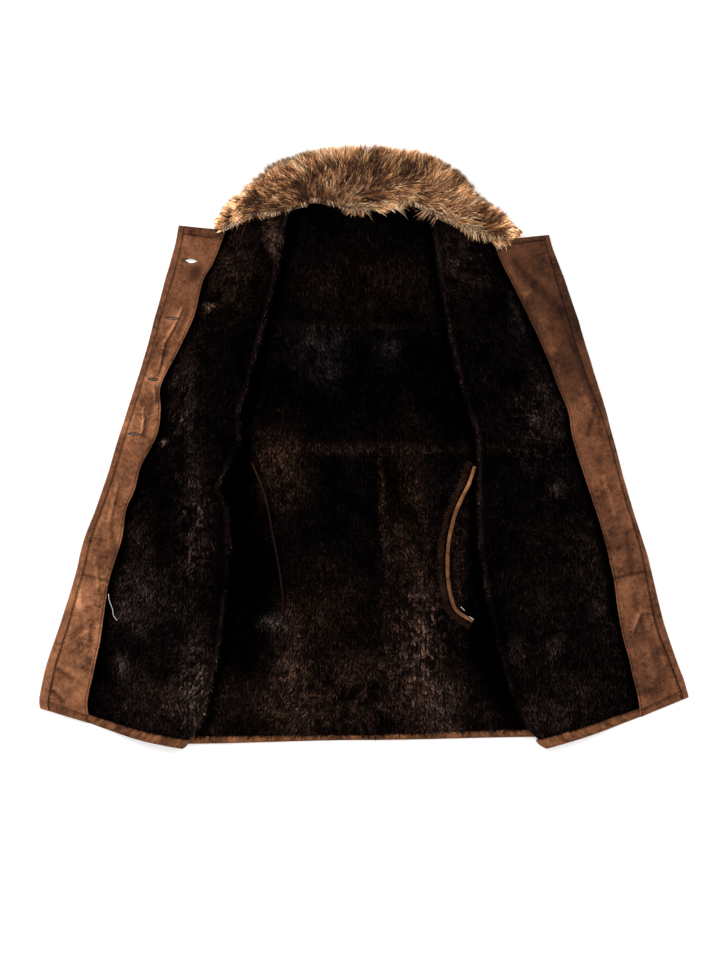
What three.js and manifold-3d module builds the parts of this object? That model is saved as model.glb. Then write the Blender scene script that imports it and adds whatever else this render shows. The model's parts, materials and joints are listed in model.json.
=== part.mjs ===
// A woman's three-quarter shearling coat, lying open on its back on a flat surface.
// Its two fronts are turned outwards at the sides, so the fur lining of the back and of both fronts
// faces up. The sleeves are tucked under the back and the collar is turned up, away from the hem.
//
// Millimetres. +X is the wearer's left, +Y runs from the hem to the collar, +Z is up off the surface.
// The origin is on the surface, under the middle of the whole outline. Names ending in _r lie on the
// wearer's right (-X, the buttonhole side), and those ending in _l on the left (the button side).

import * as THREE from "three";
import { mergeVertices } from "three/addons/utils/BufferGeometryUtils.js";
import Module from "manifold-3d";

const wasm = await Module();
wasm.setup();

// ---- driving dimensions ----

const FUR = 7;                 // shearling: hide and sheared pile together
const HEM = 5;                 // the suede hem, turned up over trimmed pile
const TRIMMED = 2.6;           // shearling shorn to the hide, under a facing
const SUEDE = 2.2;             // a facing, or the under collar
const SEAM = 0.3;              // gap between pieces that are sewn edge to edge
const REST = 0.5;              // gap between layers that lie on each other
const FOLD_GAP = 3.5;          // between the two hides inside a fold
const BESIDE_FACING = 14;      // pile pressed down along a facing's inner edge
const EDGE_HIGH = 5.2;         // the bound front edge
const SLEEVE = { thick: 13, wall: 5.8 };
const POCKET_THICK = 6.5;
const COLLAR_THICK = 25;
const BUTTON = { radius: 11, thick: 4.4, fromEdge: 26, y: [296, 203, 112, 21] };
const HOLE_TILT = -0.08;       // buttonholes run a little down towards the edge, in radians
const OVER_SLEEVE = [25, 70];  // where, out from the centre back, the sleeves beneath lift the back

// ---- colours: suede, dark sheared fur, long golden collar fur ----

const finish = {
  suede: { color: 0x86603f, roughness: 0.92, metalness: 0 },
  fur: { color: 0x241a17, roughness: 1, metalness: 0 },
  collar: { color: 0xb98f62, roughness: 0.95, metalness: 0 },
  horn: { color: 0x3a2618, roughness: 0.4, metalness: 0 },
};

// ---- stations: one row for each section across the coat, from neck to hem ----

const table = (columns, rows) => rows.map((row) =>
  Object.fromEntries(columns.map((column, i) => [column, row[i]])));

// Fronts, as distances out from the centre-back line. fold: the rolled edge that shows. facing: the
// facing's inner edge. edge: the front edge. band: width of the bound edge. tuck: how far the front
// runs back outwards under its own fold, to the armhole or the side seam. hang: how far it bellies
// down between fold and facing. inset: how far the back's side corner stops short of the front's.
const frontColumns = ["fold", "foldY", "facing", "facingY", "edge", "edgeY", "band", "tuck", "hang", "inset"];
const FRONTS = {
  r: table(frontColumns, [
    [121, 380, 222, 347, 297.5, 355, 9, 12, 0, 0],
    [129, 340, 232, 322, 303, 325, 9, 16, 0, 0],
    [138, 297, 243, 293, 312, 293, 11, 20, 0, 0],
    [143, 262, 259, 265, 320, 265, 11, 23, 0, 0],
    [157, 206, 274, 206, 336, 206, 9, 28, 0, 0],
    [173, 150, 301, 150, 351, 150, 9, 34, 0, 0],
    [187, 98, 326, 98, 367, 98, 9, 42, 0, 0],
    [200, 58, 327, 60, 379, 60, 9, 48, 0, 0],
    [198, 14, 332, 20, 392, 20, 9, 52, 0, 0],
    [217, -30, 358, -30, 407, -30, 9, 52, 0, 0],
    [234, -65, 368, -68, 419, -67, 9, 50, 0, 0],
    [218, -98, 381, -100, 430, -99, 9, 54, 0, 0],
    [216, -150, 390, -150, 449, -148, 10, 54, 0, 0],
    [217, -205, 409, -216, 463, -203, 10, 54, 0, 0],
    [227, -290, 421, -292, 487, -284, 12, 54, 0, 0],
    [238, -350, 431, -350, 508, -344, 14, 54, 0, 0],
    [256, -424, 444, -404, 517, -380, 14, 53, 2, 0],
    [277, -470, 443, -430, 521.6, -406, 14, 52, 4, 6],
    [288, -484, 441, -444, 520, -420, 14, 52, 4.5, 7],
  ]),
  l: table(frontColumns, [
    [110, 376, 208, 330, 297, 339.5, 8, 12, 0, 0],
    [112, 340, 214, 312, 303, 317, 9, 16, 0, 0],
    [118, 297, 224, 288, 314, 289, 11, 20, 0, 0],
    [124, 258, 242, 253, 327, 253, 14, 23, 0, 0],
    [134, 203, 266, 203, 343.5, 203, 15, 28, 0, 0],
    [144, 150, 291, 150, 359.5, 150, 15, 34, 0, 0],
    [156, 98, 310, 98, 375.5, 98, 13, 42, 0, 0],
    [169, 55, 328, 55, 388.5, 55, 9, 48, 0, 0],
    [182, 18, 333, 20, 397.5, 20, 7, 52, 0, 0],
    [182, -30, 348, -30, 411, -30, 6, 52, 0, 0],
    [182, -65, 360, -66, 421, -66, 6, 50, 0, 0],
    [183, -100, 371, -100, 431, -99, 6, 54, 0, 0],
    [185, -150, 387, -150, 447, -149, 6, 54, 0, 0],
    [192, -208, 400, -212, 461.5, -198, 9, 54, 0, 0],
    [208, -290, 412, -287, 481, -282, 12, 54, 0, 0],
    [226, -350, 427, -350, 504.5, -350, 11, 54, 0, 0],
    [249, -424, 439, -396, 513, -372, 10, 53, 1, 4],
    [274, -470, 443, -420, 518, -388, 9, 52, 2, 17],
    [290, -484, 444, -434, 521.6, -402, 9, 52, 2, 18],
  ]),
};

// Back, for the same rows. y: on the centre-back line. lift: how high the sleeves beneath hold it.
// pocket: how much the pocket bag adds under the fronts' tuck. buttons: how high the buttons hold the
// left front edge. seam: how far to the left the skirt's centre seam lies, as the back is laid.
const BACK = table(["y", "lift", "pocket", "buttons", "seam"], [
  [380, 0, 0, 5, 24],
  [340, 13.5, 0, 5, 24],
  [297, 13.5, 0, 5, 24],
  [260, 13.5, 0, 5, 24],
  [211, 13.5, 0, 5, 24],
  [150, 13.5, 0, 5, 24],
  [98, 13.5, 0, 5, 24],
  [56, 13.5, 0, 5, 24],
  [12, 13.5, 7.1, 5, 24],
  [-30, 13.5, 7.1, 5, 24],
  [-65, 13.5, 7.1, 2.5, 23],
  [-98, 13.5, 7.1, 0, 24],
  [-150, 13.5, 7.1, 0, 27],
  [-207, 13.5, 7.1, 0, 37],
  [-290, 13.5, 7.1, 0, 44],
  [-350, 3, 0, 0, 48],
  [-418, 0, 0, 0, 47],
  [-462, 0, 0, 0, 45],
  [-471, 0, 0, 0, 45],
]);

const ROW = { neck: 0, yoke: 4, waist: 8, facingSeam: 13, hemTop: 17, hem: 18 };

// Soft ridges in the back, each from one end to the other.
const RIDGES = table(["x0", "y0", "x1", "y1", "wide", "high"], [
  [-80, -235, -112, -390, 18, 6],
  [62, -235, 108, -395, 24, 6],
  [-92, 190, -48, 95, 22, 3.5],
  [70, 175, 96, 60, 22, 3],
  [-60, 20, -36, -110, 20, 3],
]);

// Sleeve sections, from the armhole to the cuff. The armhole's own ends differ between the sides.
const ARMHOLES = { r: [134, 326, 224, 78], l: [118, 326, 194, 78] };
const sleeveColumns = ["innerX", "innerY", "outerX", "outerY"];
const SLEEVE_SECTIONS = [
  [104, 262, 222, 30],
  [88, 150, 220, -40],
  [82, 20, 216, -110],
  [82, -110, 210, -190],
  [82, -276, 204, -284],
];

// Pocket bags: the free edge that curves out from under each front.
const POCKETS = {
  r: { seamFrom: 1.8, seamWide: 3, rows: table(["x", "y"], [
    [196, 10], [176, -25], [154, -81], [142, -142], [130, -209], [127, -262], [146, -287]]) },
  l: { seamFrom: 7, seamWide: 6, rows: table(["x", "y"], [
    [184, 4], [168, -28], [158, -56], [138, -98], [126, -146], [123, -194], [128, -238],
    [140, -268], [168, -287]]) },
};

// Buttonholes, sewn through the right facing and front.
const BUTTONHOLES = table(["y", "fromEdge", "long", "open"], [
  [298, 33, 20, 6.6],
  [206, 29, 20, 1.6],
  [108, 26, 14, 1.6],
  [20, 24, 18, 1.6],
]);

// Collar, from tip to tip: where each section leaves the neck, and where its fur ends.
const COLLAR = table(["x", "topX", "topY", "thick"], [
  [-232, -239, 368, 0.45],
  [-207, -213, 393, 0.7],
  [-176, -191, 413, 0.9],
  [-150, -172, 435, 1],
  [-121, -140, 460, 1],
  [-90, -100, 472, 1],
  [-45, -50, 480, 1],
  [0, 0, 484, 1],
  [40, 46, 480, 1],
  [80, 93, 472, 1],
  [110, 130, 457, 1],
  [134, 157, 438, 1],
  [155, 176, 411, 0.95],
  [180, 197, 391, 0.85],
  [208, 228, 370, 0.7],
  [240, 254, 348, 0.45],
]);

// ---- working out ----

const { lerp, smoothstep } = THREE.MathUtils;
const sides = { r: -1, l: 1 };

// A row of a table at a fractional position, every column in proportion.
function rowAt(rows, position) {
  const i = Math.min(Math.floor(position), rows.length - 2);
  const columns = Object.keys(rows[i]);
  return Object.fromEntries(columns.map((c) => [c, lerp(rows[i][c], rows[i + 1][c], position - i)]));
}

// The row positions of one panel, drawn in by half a seam at each end.
function span(first, last) {
  const half = (i, j) => SEAM / 2 / Math.abs(BACK[i].y - BACK[j].y);
  const start = first + half(first, first + 1);
  const end = last - half(last, last - 1);
  const between = Array.from({ length: last - first - 1 }, (_, i) => first + 1 + i);
  return [start, ...between, end];
}

// One closed body between two matching grids of points: faces on both, and walls round the rim.
function slab(upper, lower) {
  const rows = upper.length;
  const columns = upper[0].length;
  const points = [...upper.flat(), ...lower.flat()];
  const faces = [];
  const at = (layer, i, j) => layer * rows * columns + i * columns + j;
  const quad = (a, b, c, d) => faces.push(a, b, c, a, c, d);
  for (let i = 0; i < rows - 1; i += 1) {
    for (let j = 0; j < columns - 1; j += 1) {
      quad(at(0, i, j), at(0, i, j + 1), at(0, i + 1, j + 1), at(0, i + 1, j));
      quad(at(1, i, j), at(1, i + 1, j), at(1, i + 1, j + 1), at(1, i, j + 1));
    }
    quad(at(0, i, 0), at(0, i + 1, 0), at(1, i + 1, 0), at(1, i, 0));
    const e = columns - 1;
    quad(at(0, i, e), at(1, i, e), at(1, i + 1, e), at(0, i + 1, e));
  }
  for (let j = 0; j < columns - 1; j += 1) {
    const e = rows - 1;
    quad(at(0, 0, j), at(1, 0, j), at(1, 0, j + 1), at(0, 0, j + 1));
    quad(at(0, e, j), at(0, e, j + 1), at(1, e, j + 1), at(1, e, j));
  }
  return body(points, faces);
}

// A bar through equal rings of points, its two end rings closed. With inner rings it is a tube.
function loft(rings, innerRings) {
  const n = rings[0].length;
  const last = rings.length - 1;
  const points = [...rings.flat(), ...(innerRings ?? []).flat()];
  const inside = rings.length * n;
  const faces = [];
  const quad = (a, b, c, d) => faces.push(a, b, c, a, c, d);
  for (let j = 0; j < n; j += 1) {
    const k = (j + 1) % n;
    for (let i = 0; i < last; i += 1) {
      quad(i * n + j, i * n + k, (i + 1) * n + k, (i + 1) * n + j);
      if (innerRings) {
        quad(inside + i * n + j, inside + (i + 1) * n + j, inside + (i + 1) * n + k, inside + i * n + k);
      }
    }
    if (innerRings) {
      quad(j, inside + j, inside + k, k);
      quad(last * n + j, last * n + k, inside + last * n + k, inside + last * n + j);
    } else if (j > 0 && j < n - 1) {
      faces.push(0, k, j);
      faces.push(last * n, last * n + j, last * n + k);
    }
  }
  return body(points, faces);
}

// A geometry from points and faces, turned to face outwards whichever side of the coat it is on.
function body(points, faces) {
  let volume = 0;
  const cross = new THREE.Vector3();
  for (let i = 0; i < faces.length; i += 3) {
    const [a, b, c] = [points[faces[i]], points[faces[i + 1]], points[faces[i + 2]]];
    volume += a.dot(cross.crossVectors(b, c));
  }
  if (volume < 0) {
    for (let i = 0; i < faces.length; i += 3) {
      [faces[i + 1], faces[i + 2]] = [faces[i + 2], faces[i + 1]];
    }
  }
  const geometry = new THREE.BufferGeometry();
  geometry.setAttribute("position", new THREE.Float32BufferAttribute(points.flatMap((p) => [...p]), 3));
  geometry.setIndex(faces);
  return geometry;
}

function solid(geometry) {
  const plain = geometry.clone();
  plain.deleteAttribute("normal");
  plain.deleteAttribute("uv");
  const merged = mergeVertices(plain);
  return new wasm.Manifold(new wasm.Mesh({
    numProp: 3,
    vertProperties: new Float32Array(merged.attributes.position.array),
    triVerts: new Uint32Array(merged.index.array),
  }));
}

function cut(geometry, cutters) {
  let rest = solid(geometry);
  for (const cutter of cutters) rest = rest.subtract(solid(cutter));
  const mesh = rest.getMesh();
  const result = new THREE.BufferGeometry();
  result.setAttribute("position", new THREE.Float32BufferAttribute(mesh.vertProperties, 3));
  result.setIndex([...mesh.triVerts]);
  return result;
}

const coat = new THREE.Group();

function add(name, geometry, look) {
  const mesh = new THREE.Mesh(geometry, new THREE.MeshStandardMaterial(finish[look]));
  mesh.name = name;
  coat.add(mesh);
}

// ---- back: yoke, body and two skirt halves, with the fur up ----

function ridges(x, y) {
  const here = new THREE.Vector3(x, y, 0);
  const nearest = new THREE.Vector3();
  return RIDGES.reduce((sum, { x0, y0, x1, y1, wide, high }) => {
    const line = new THREE.Line3(new THREE.Vector3(x0, y0, 0), new THREE.Vector3(x1, y1, 0));
    line.closestPointToPoint(here, true, nearest);
    return sum + high * Math.exp(-((here.distanceTo(nearest) / wide) ** 2));
  }, 0);
}

// How high the back's underside lies: on the surface along the middle, and on the sleeves beside it.
// The ridges die away towards the centre-back seam and before the fronts' folds.
function backHeight(row, x, y, fold) {
  const out = Math.abs(x);
  const overSleeve = smoothstep(out, ...OVER_SLEEVE);
  const openBack = smoothstep(out, 27, 60) * (1 - smoothstep(out, fold - 50, fold - 12));
  return row.lift * overSleeve + ridges(x, y) * openBack;
}

// A point on the back's underside. across runs from -1 at the right side seam to 1 at the left.
function backPoint(position, across) {
  const row = rowAt(BACK, position);
  const front = rowAt(FRONTS[across < 0 ? "r" : "l"], position);
  const x = across * (front.fold + front.tuck);
  const out = Math.abs(x);
  const slope = (front.facingY - front.foldY) / (front.facing - front.fold);
  const sideY = front.foldY + front.inset + slope * Math.max(0, out - front.fold);
  const y = lerp(row.y, sideY, smoothstep(out, 0, front.fold));
  return new THREE.Vector3(x, y, backHeight(row, x, y, front.fold));
}

// acrosses: the columns' places across the back, as a list or as a function of the position.
function backPanel(positions, acrosses, thick) {
  const columns = (p) => (typeof acrosses === "function" ? acrosses(p) : acrosses);
  const under = positions.map((p) => columns(p).map((a) => backPoint(p, a)));
  const over = under.map((line) => line.map((p) => new THREE.Vector3(p.x, p.y, p.z + thick)));
  return slab(over, under);
}

const HALF = 10;               // columns from the centre back to a side seam
const steps = (n) => Array.from({ length: n + 1 }, (_, i) => i / n);
const fullWidth = [...steps(HALF).slice(1).map((a) => -a).reverse(), ...steps(HALF)];
const centreGap = 0.0006;      // half a seam's gap, as a share of the back's half width

// The columns of a skirt half: from the centre seam, which lies in the left half, out to its side.
function skirtColumns(side, position) {
  const front = rowAt(FRONTS.l, position);
  const seam = rowAt(BACK, position).seam / (front.fold + front.tuck);
  if (side === "l") return [seam + centreGap, ...steps(HALF).slice(2)];
  return [seam - centreGap, seam / 2, ...steps(HALF).map((a) => -a)];
}

add("back_yoke", backPanel(span(ROW.neck, ROW.yoke), fullWidth, FUR), "fur");
add("back_body", backPanel(span(ROW.yoke, ROW.waist), fullWidth, FUR), "fur");
for (const side of ["r", "l"]) {
  const columns = (position) => skirtColumns(side, position);
  add(`back_skirt_${side}`, backPanel(span(ROW.waist, ROW.hemTop), columns, FUR), "fur");
  add(`hem_back_${side}`, backPanel(span(ROW.hemTop, ROW.hem), columns, HEM), "suede");
}

// ---- fronts: each is turned back on itself at its fold, hide to hide ----

const FOLD_STEPS = 5;
const radius = FOLD_GAP / 2;

// A front's section as [distance out from the fold, height of the hide, direction of the fur, fur].
// It runs from the tucked side seam in to the fold, round it, and out over itself to the bound edge.
function frontSection(side, position, thick) {
  const front = rowAt(FRONTS[side], position);
  const row = rowAt(BACK, position);
  const centre = radius + thick;
  const facing = front.facing - front.fold;
  const groove = front.edge - front.band - SEAM - front.fold;
  const tucked = row.lift + FUR + REST + row.pocket + thick;
  const high = tucked + FOLD_GAP;
  const low = side === "l" ? row.buttons : 0;
  const path = [];
  for (const out of [front.tuck, (front.tuck + centre) / 2]) path.push([out, tucked, -Math.PI / 2, thick]);
  for (let i = 0; i <= FOLD_STEPS; i += 1) {
    const turn = Math.PI * (1.5 - i / FOLD_STEPS);
    path.push([centre + radius * Math.cos(turn), tucked + radius + radius * Math.sin(turn), turn, thick]);
  }
  const fallFrom = front.tuck + 4;
  const fallTo = facing - BESIDE_FACING;
  for (const share of [0, 0.2, 0.4, 0.6, 0.8, 1]) {
    const out = lerp(fallFrom, fallTo, share);
    path.push([out, lerp(high, low, smoothstep(share, 0, 1)), Math.PI / 2, thick]);
  }
  const shorn = Math.min(thick, TRIMMED);
  for (const out of [facing, (facing + groove) / 2, groove]) path.push([out, low, Math.PI / 2, shorn]);
  return { front, path };
}

// A place on a front: out from its fold along the station's line, which bends at the facing.
function frontPlace(side, front, out, z) {
  const facing = front.facing - front.fold;
  const inner = (front.facingY - front.foldY) / facing;
  const outer = (front.edgeY - front.facingY) / (front.edge - front.facing);
  const belly = front.hang * Math.sin(Math.PI * Math.min(1, Math.max(0, out / facing)));
  const y = front.foldY + inner * Math.min(out, facing) + outer * Math.max(0, out - facing) - belly;
  return new THREE.Vector3(sides[side] * (front.fold + out), y, z);
}

function frontPanel(side, positions, thick) {
  const hide = [];
  const fur = [];
  for (const position of positions) {
    const { front, path } = frontSection(side, position, thick);
    hide.push(path.map(([out, z]) => frontPlace(side, front, out, z)));
    fur.push(path.map(([out, z, turn, pile]) =>
      frontPlace(side, front, out + pile * Math.cos(turn), z + pile * Math.sin(turn))));
  }
  return slab(fur, hide);
}

// ---- facings, and the bound edges outside them ----

const FACING_RIM = 0.6;        // how much thinner a facing is along its two long edges

function facingPanel(side, positions) {
  const under = [];
  const over = [];
  for (const position of positions) {
    const { front, path } = frontSection(side, position, FUR);
    const low = path.at(-1)[1] + TRIMMED + SEAM;
    const first = front.facing - front.fold;
    const last = front.edge - front.band - front.fold - 2 * SEAM;
    const outs = [first, first + 5, (first + last) / 2, last - 4, last];
    const thins = [FACING_RIM, 0, 0, 0, FACING_RIM];
    under.push(outs.map((out) => frontPlace(side, front, out, low)));
    over.push(outs.map((out, i) => frontPlace(side, front, out, low + SUEDE - thins[i])));
  }
  return slab(over, under);
}

function edgeBinding(side, positions) {
  return loft(positions.map((position) => {
    const { front, path } = frontSection(side, position, FUR);
    const low = path.at(-1)[1];
    const first = front.edge - front.band - front.fold + SEAM / 2;
    const last = front.edge - front.fold;
    return [
      [first, 0], [last - 1, 0], [last, 1.2], [last, EDGE_HIGH - 1.8],
      [last - 1.6, EDGE_HIGH], [first + 1.6, EDGE_HIGH], [first, EDGE_HIGH - 1.2],
    ].map(([out, z]) => frontPlace(side, front, out, low + z));
  }));
}

// A lens-shaped cutter through the right front: two arcs that meet in points. Each curve's middle is
// half as far out as its control point, so the hole is as wide there as the row says.
function buttonholeCutter({ y, fromEdge, long, open }) {
  const front = rowAt(FRONTS.r, positionAt("r", y));
  const outline = new THREE.Shape();
  outline.moveTo(-long / 2, 0);
  outline.quadraticCurveTo(0, open, long / 2, 0);
  outline.quadraticCurveTo(0, -open, -long / 2, 0);
  const reach = { below: 5, depth: 20 };
  const cutter = new THREE.ExtrudeGeometry(outline, {
    depth: reach.depth, bevelEnabled: false, curveSegments: 6,
  });
  cutter.rotateZ(HOLE_TILT);
  cutter.translate(-(front.edge - fromEdge), y, -reach.below);
  return cutter;
}

// The fractional row at which a front's edge passes a height y.
function positionAt(side, y) {
  const rows = FRONTS[side];
  const i = rows.findIndex((row, k) => k > 0 && row.edgeY <= y) - 1;
  return i + (rows[i].edgeY - y) / (rows[i].edgeY - rows[i + 1].edgeY);
}

const holes = BUTTONHOLES.map(buttonholeCutter);

for (const side of Object.keys(sides)) {
  const pierced = (geometry) => (side === "r" ? cut(geometry, holes) : geometry);
  add(`front_yoke_${side}`, pierced(frontPanel(side, span(ROW.neck, ROW.yoke), FUR)), "fur");
  add(`front_body_${side}`, pierced(frontPanel(side, span(ROW.yoke, ROW.waist), FUR)), "fur");
  add(`front_skirt_${side}`, pierced(frontPanel(side, span(ROW.waist, ROW.hemTop), FUR)), "fur");
  add(`hem_front_${side}`, frontPanel(side, span(ROW.hemTop, ROW.hem), HEM), "suede");
  add(`facing_upper_${side}`, pierced(facingPanel(side, span(ROW.neck, ROW.facingSeam))), "suede");
  add(`facing_lower_${side}`, facingPanel(side, span(ROW.facingSeam, ROW.hem)), "suede");
  add(`edge_${side}`, edgeBinding(side, span(ROW.neck, ROW.hem)), "suede");
}

// ---- buttons, on the outside of the left front, so they lie under its edge ----

BUTTON.y.forEach((y, i) => {
  const { radius: r, thick } = BUTTON;
  const front = rowAt(FRONTS.l, positionAt("l", y));
  const profile = [
    [0, 0], [r - 1, 0], [r, 1], [r, thick - 1.2], [r - 1.2, thick], [r - 3, thick],
    [r - 4, thick - 0.8], [0, thick - 0.8],
  ].map(([x, z]) => new THREE.Vector2(x, z));
  const button = new THREE.LatheGeometry(profile, 16).rotateX(Math.PI / 2);
  button.translate(front.edge - BUTTON.fromEdge, y, 0);
  add(`button_${i + 1}`, cut(button, []), "horn");   // nothing is cut: this only merges its seam
});

// ---- pocket bags between back and fronts, with a strip of hide along their seam ----

function pocketBag(side) {
  const under = [];
  const over = [];
  for (const { x, y } of POCKETS[side].rows) {
    const front = rowAt(FRONTS[side], positionAt(side, y));
    const outer = front.fold + front.tuck - 6;
    const outs = [x, x + 1.5, (x + outer) / 2, outer];
    const thicks = [POCKET_THICK - 2, POCKET_THICK, POCKET_THICK, POCKET_THICK];
    const low = BACK[ROW.waist].lift + FUR + REST;
    under.push(outs.map((out) => new THREE.Vector3(sides[side] * out, y, low)));
    over.push(outs.map((out, i) => new THREE.Vector3(sides[side] * out, y, low + thicks[i])));
  }
  return slab(over, under);
}

function pocketSeam(side) {
  const { seamFrom, seamWide } = POCKETS[side];
  const rows = POCKETS[side].rows.slice(1);
  const low = BACK[ROW.waist].lift + FUR + REST + POCKET_THICK + SEAM;
  const rings = rows.map(({ x, y }, i) => {
    const before = rows[Math.max(0, i - 1)];
    const after = rows[Math.min(rows.length - 1, i + 1)];
    const along = new THREE.Vector2(after.x - before.x, after.y - before.y).normalize();
    const place = (inwards, z) =>
      new THREE.Vector3(sides[side] * (x - along.y * inwards), y + along.x * inwards, low + z);
    return [
      place(seamFrom, 0), place(seamFrom + seamWide, 0),
      place(seamFrom + seamWide, 1.2), place(seamFrom + seamWide / 2, 2), place(seamFrom, 1.2),
    ];
  });
  return loft(rings);
}

for (const side of Object.keys(sides)) {
  add(`pocket_bag_${side}`, pocketBag(side), "fur");
  add(`pocket_seam_${side}`, pocketSeam(side), "suede");
}

// ---- sleeves, pressed flat under the back ----

// A stadium ring round a section: straight over and under, half round at its two ends.
function sleeveRing({ innerX, innerY, outerX, outerY }, sign, reach) {
  const along = new THREE.Vector2(outerX - innerX, outerY - innerY);
  const wide = along.length();
  along.normalize();
  const middle = SLEEVE.thick / 2;
  const ring = [];
  const place = (s, z) =>
    ring.push(new THREE.Vector3(sign * (innerX + along.x * s), innerY + along.y * s, middle + z));
  for (let i = 0; i <= 4; i += 1) {
    const turn = Math.PI * (i / 4 - 0.5);
    place(wide - middle + reach * Math.cos(turn), reach * Math.sin(turn));
  }
  for (let i = 0; i <= 4; i += 1) {
    const turn = Math.PI * (i / 4 + 0.5);
    place(middle + reach * Math.cos(turn), reach * Math.sin(turn));
  }
  return ring;
}

for (const [side, sign] of Object.entries(sides)) {
  const sections = table(sleeveColumns, [ARMHOLES[side], ...SLEEVE_SECTIONS]);
  const outside = sections.map((s) => sleeveRing(s, sign, SLEEVE.thick / 2));
  const inside = sections.map((s) => sleeveRing(s, sign, SLEEVE.thick / 2 - SLEEVE.wall));
  add(`sleeve_${side}`, loft(outside, inside), "suede");
}

// ---- collar: long fur over a suede under collar ----

// The neck edge that the collar is sewn to, as a height y for a place x across the coat.
function neckEdge(x) {
  const side = x < 0 ? "r" : "l";
  const front = FRONTS[side][ROW.neck];
  const out = Math.abs(x);
  if (out < front.fold) return lerp(BACK[ROW.neck].y, front.foldY, smoothstep(out, 0, front.fold));
  return frontPlace(side, front, out - front.fold, 0).y;
}

const FUR_PROFILE = table(["share", "high"], [
  [0, 0.5], [0.12, 0.84], [0.35, 1], [0.62, 0.92], [0.86, 0.62], [1, 0.22]]);

function collarGrid(shares, heightAt) {
  return COLLAR.map((station) => shares.map((share) => {
    const low = new THREE.Vector3(station.x, neckEdge(station.x) + 3 * SEAM, 0);
    const top = new THREE.Vector3(station.topX, station.topY, 0);
    const place = low.lerp(top, share);
    place.z = heightAt(station, share);
    return place;
  }));
}

const underShares = [0, 0.5, 0.96];
add("under_collar", slab(collarGrid(underShares, () => SUEDE), collarGrid(underShares, () => 0)), "suede");

const furShares = FUR_PROFILE.map(({ share }) => share);
const furBase = SUEDE + SEAM;
const furTop = (station, share) =>
  furBase + COLLAR_THICK * station.thick * FUR_PROFILE.find((row) => row.share === share).high;
add("collar_fur", slab(collarGrid(furShares, furTop), collarGrid(furShares, () => furBase)), "collar");

export default coat;
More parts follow.
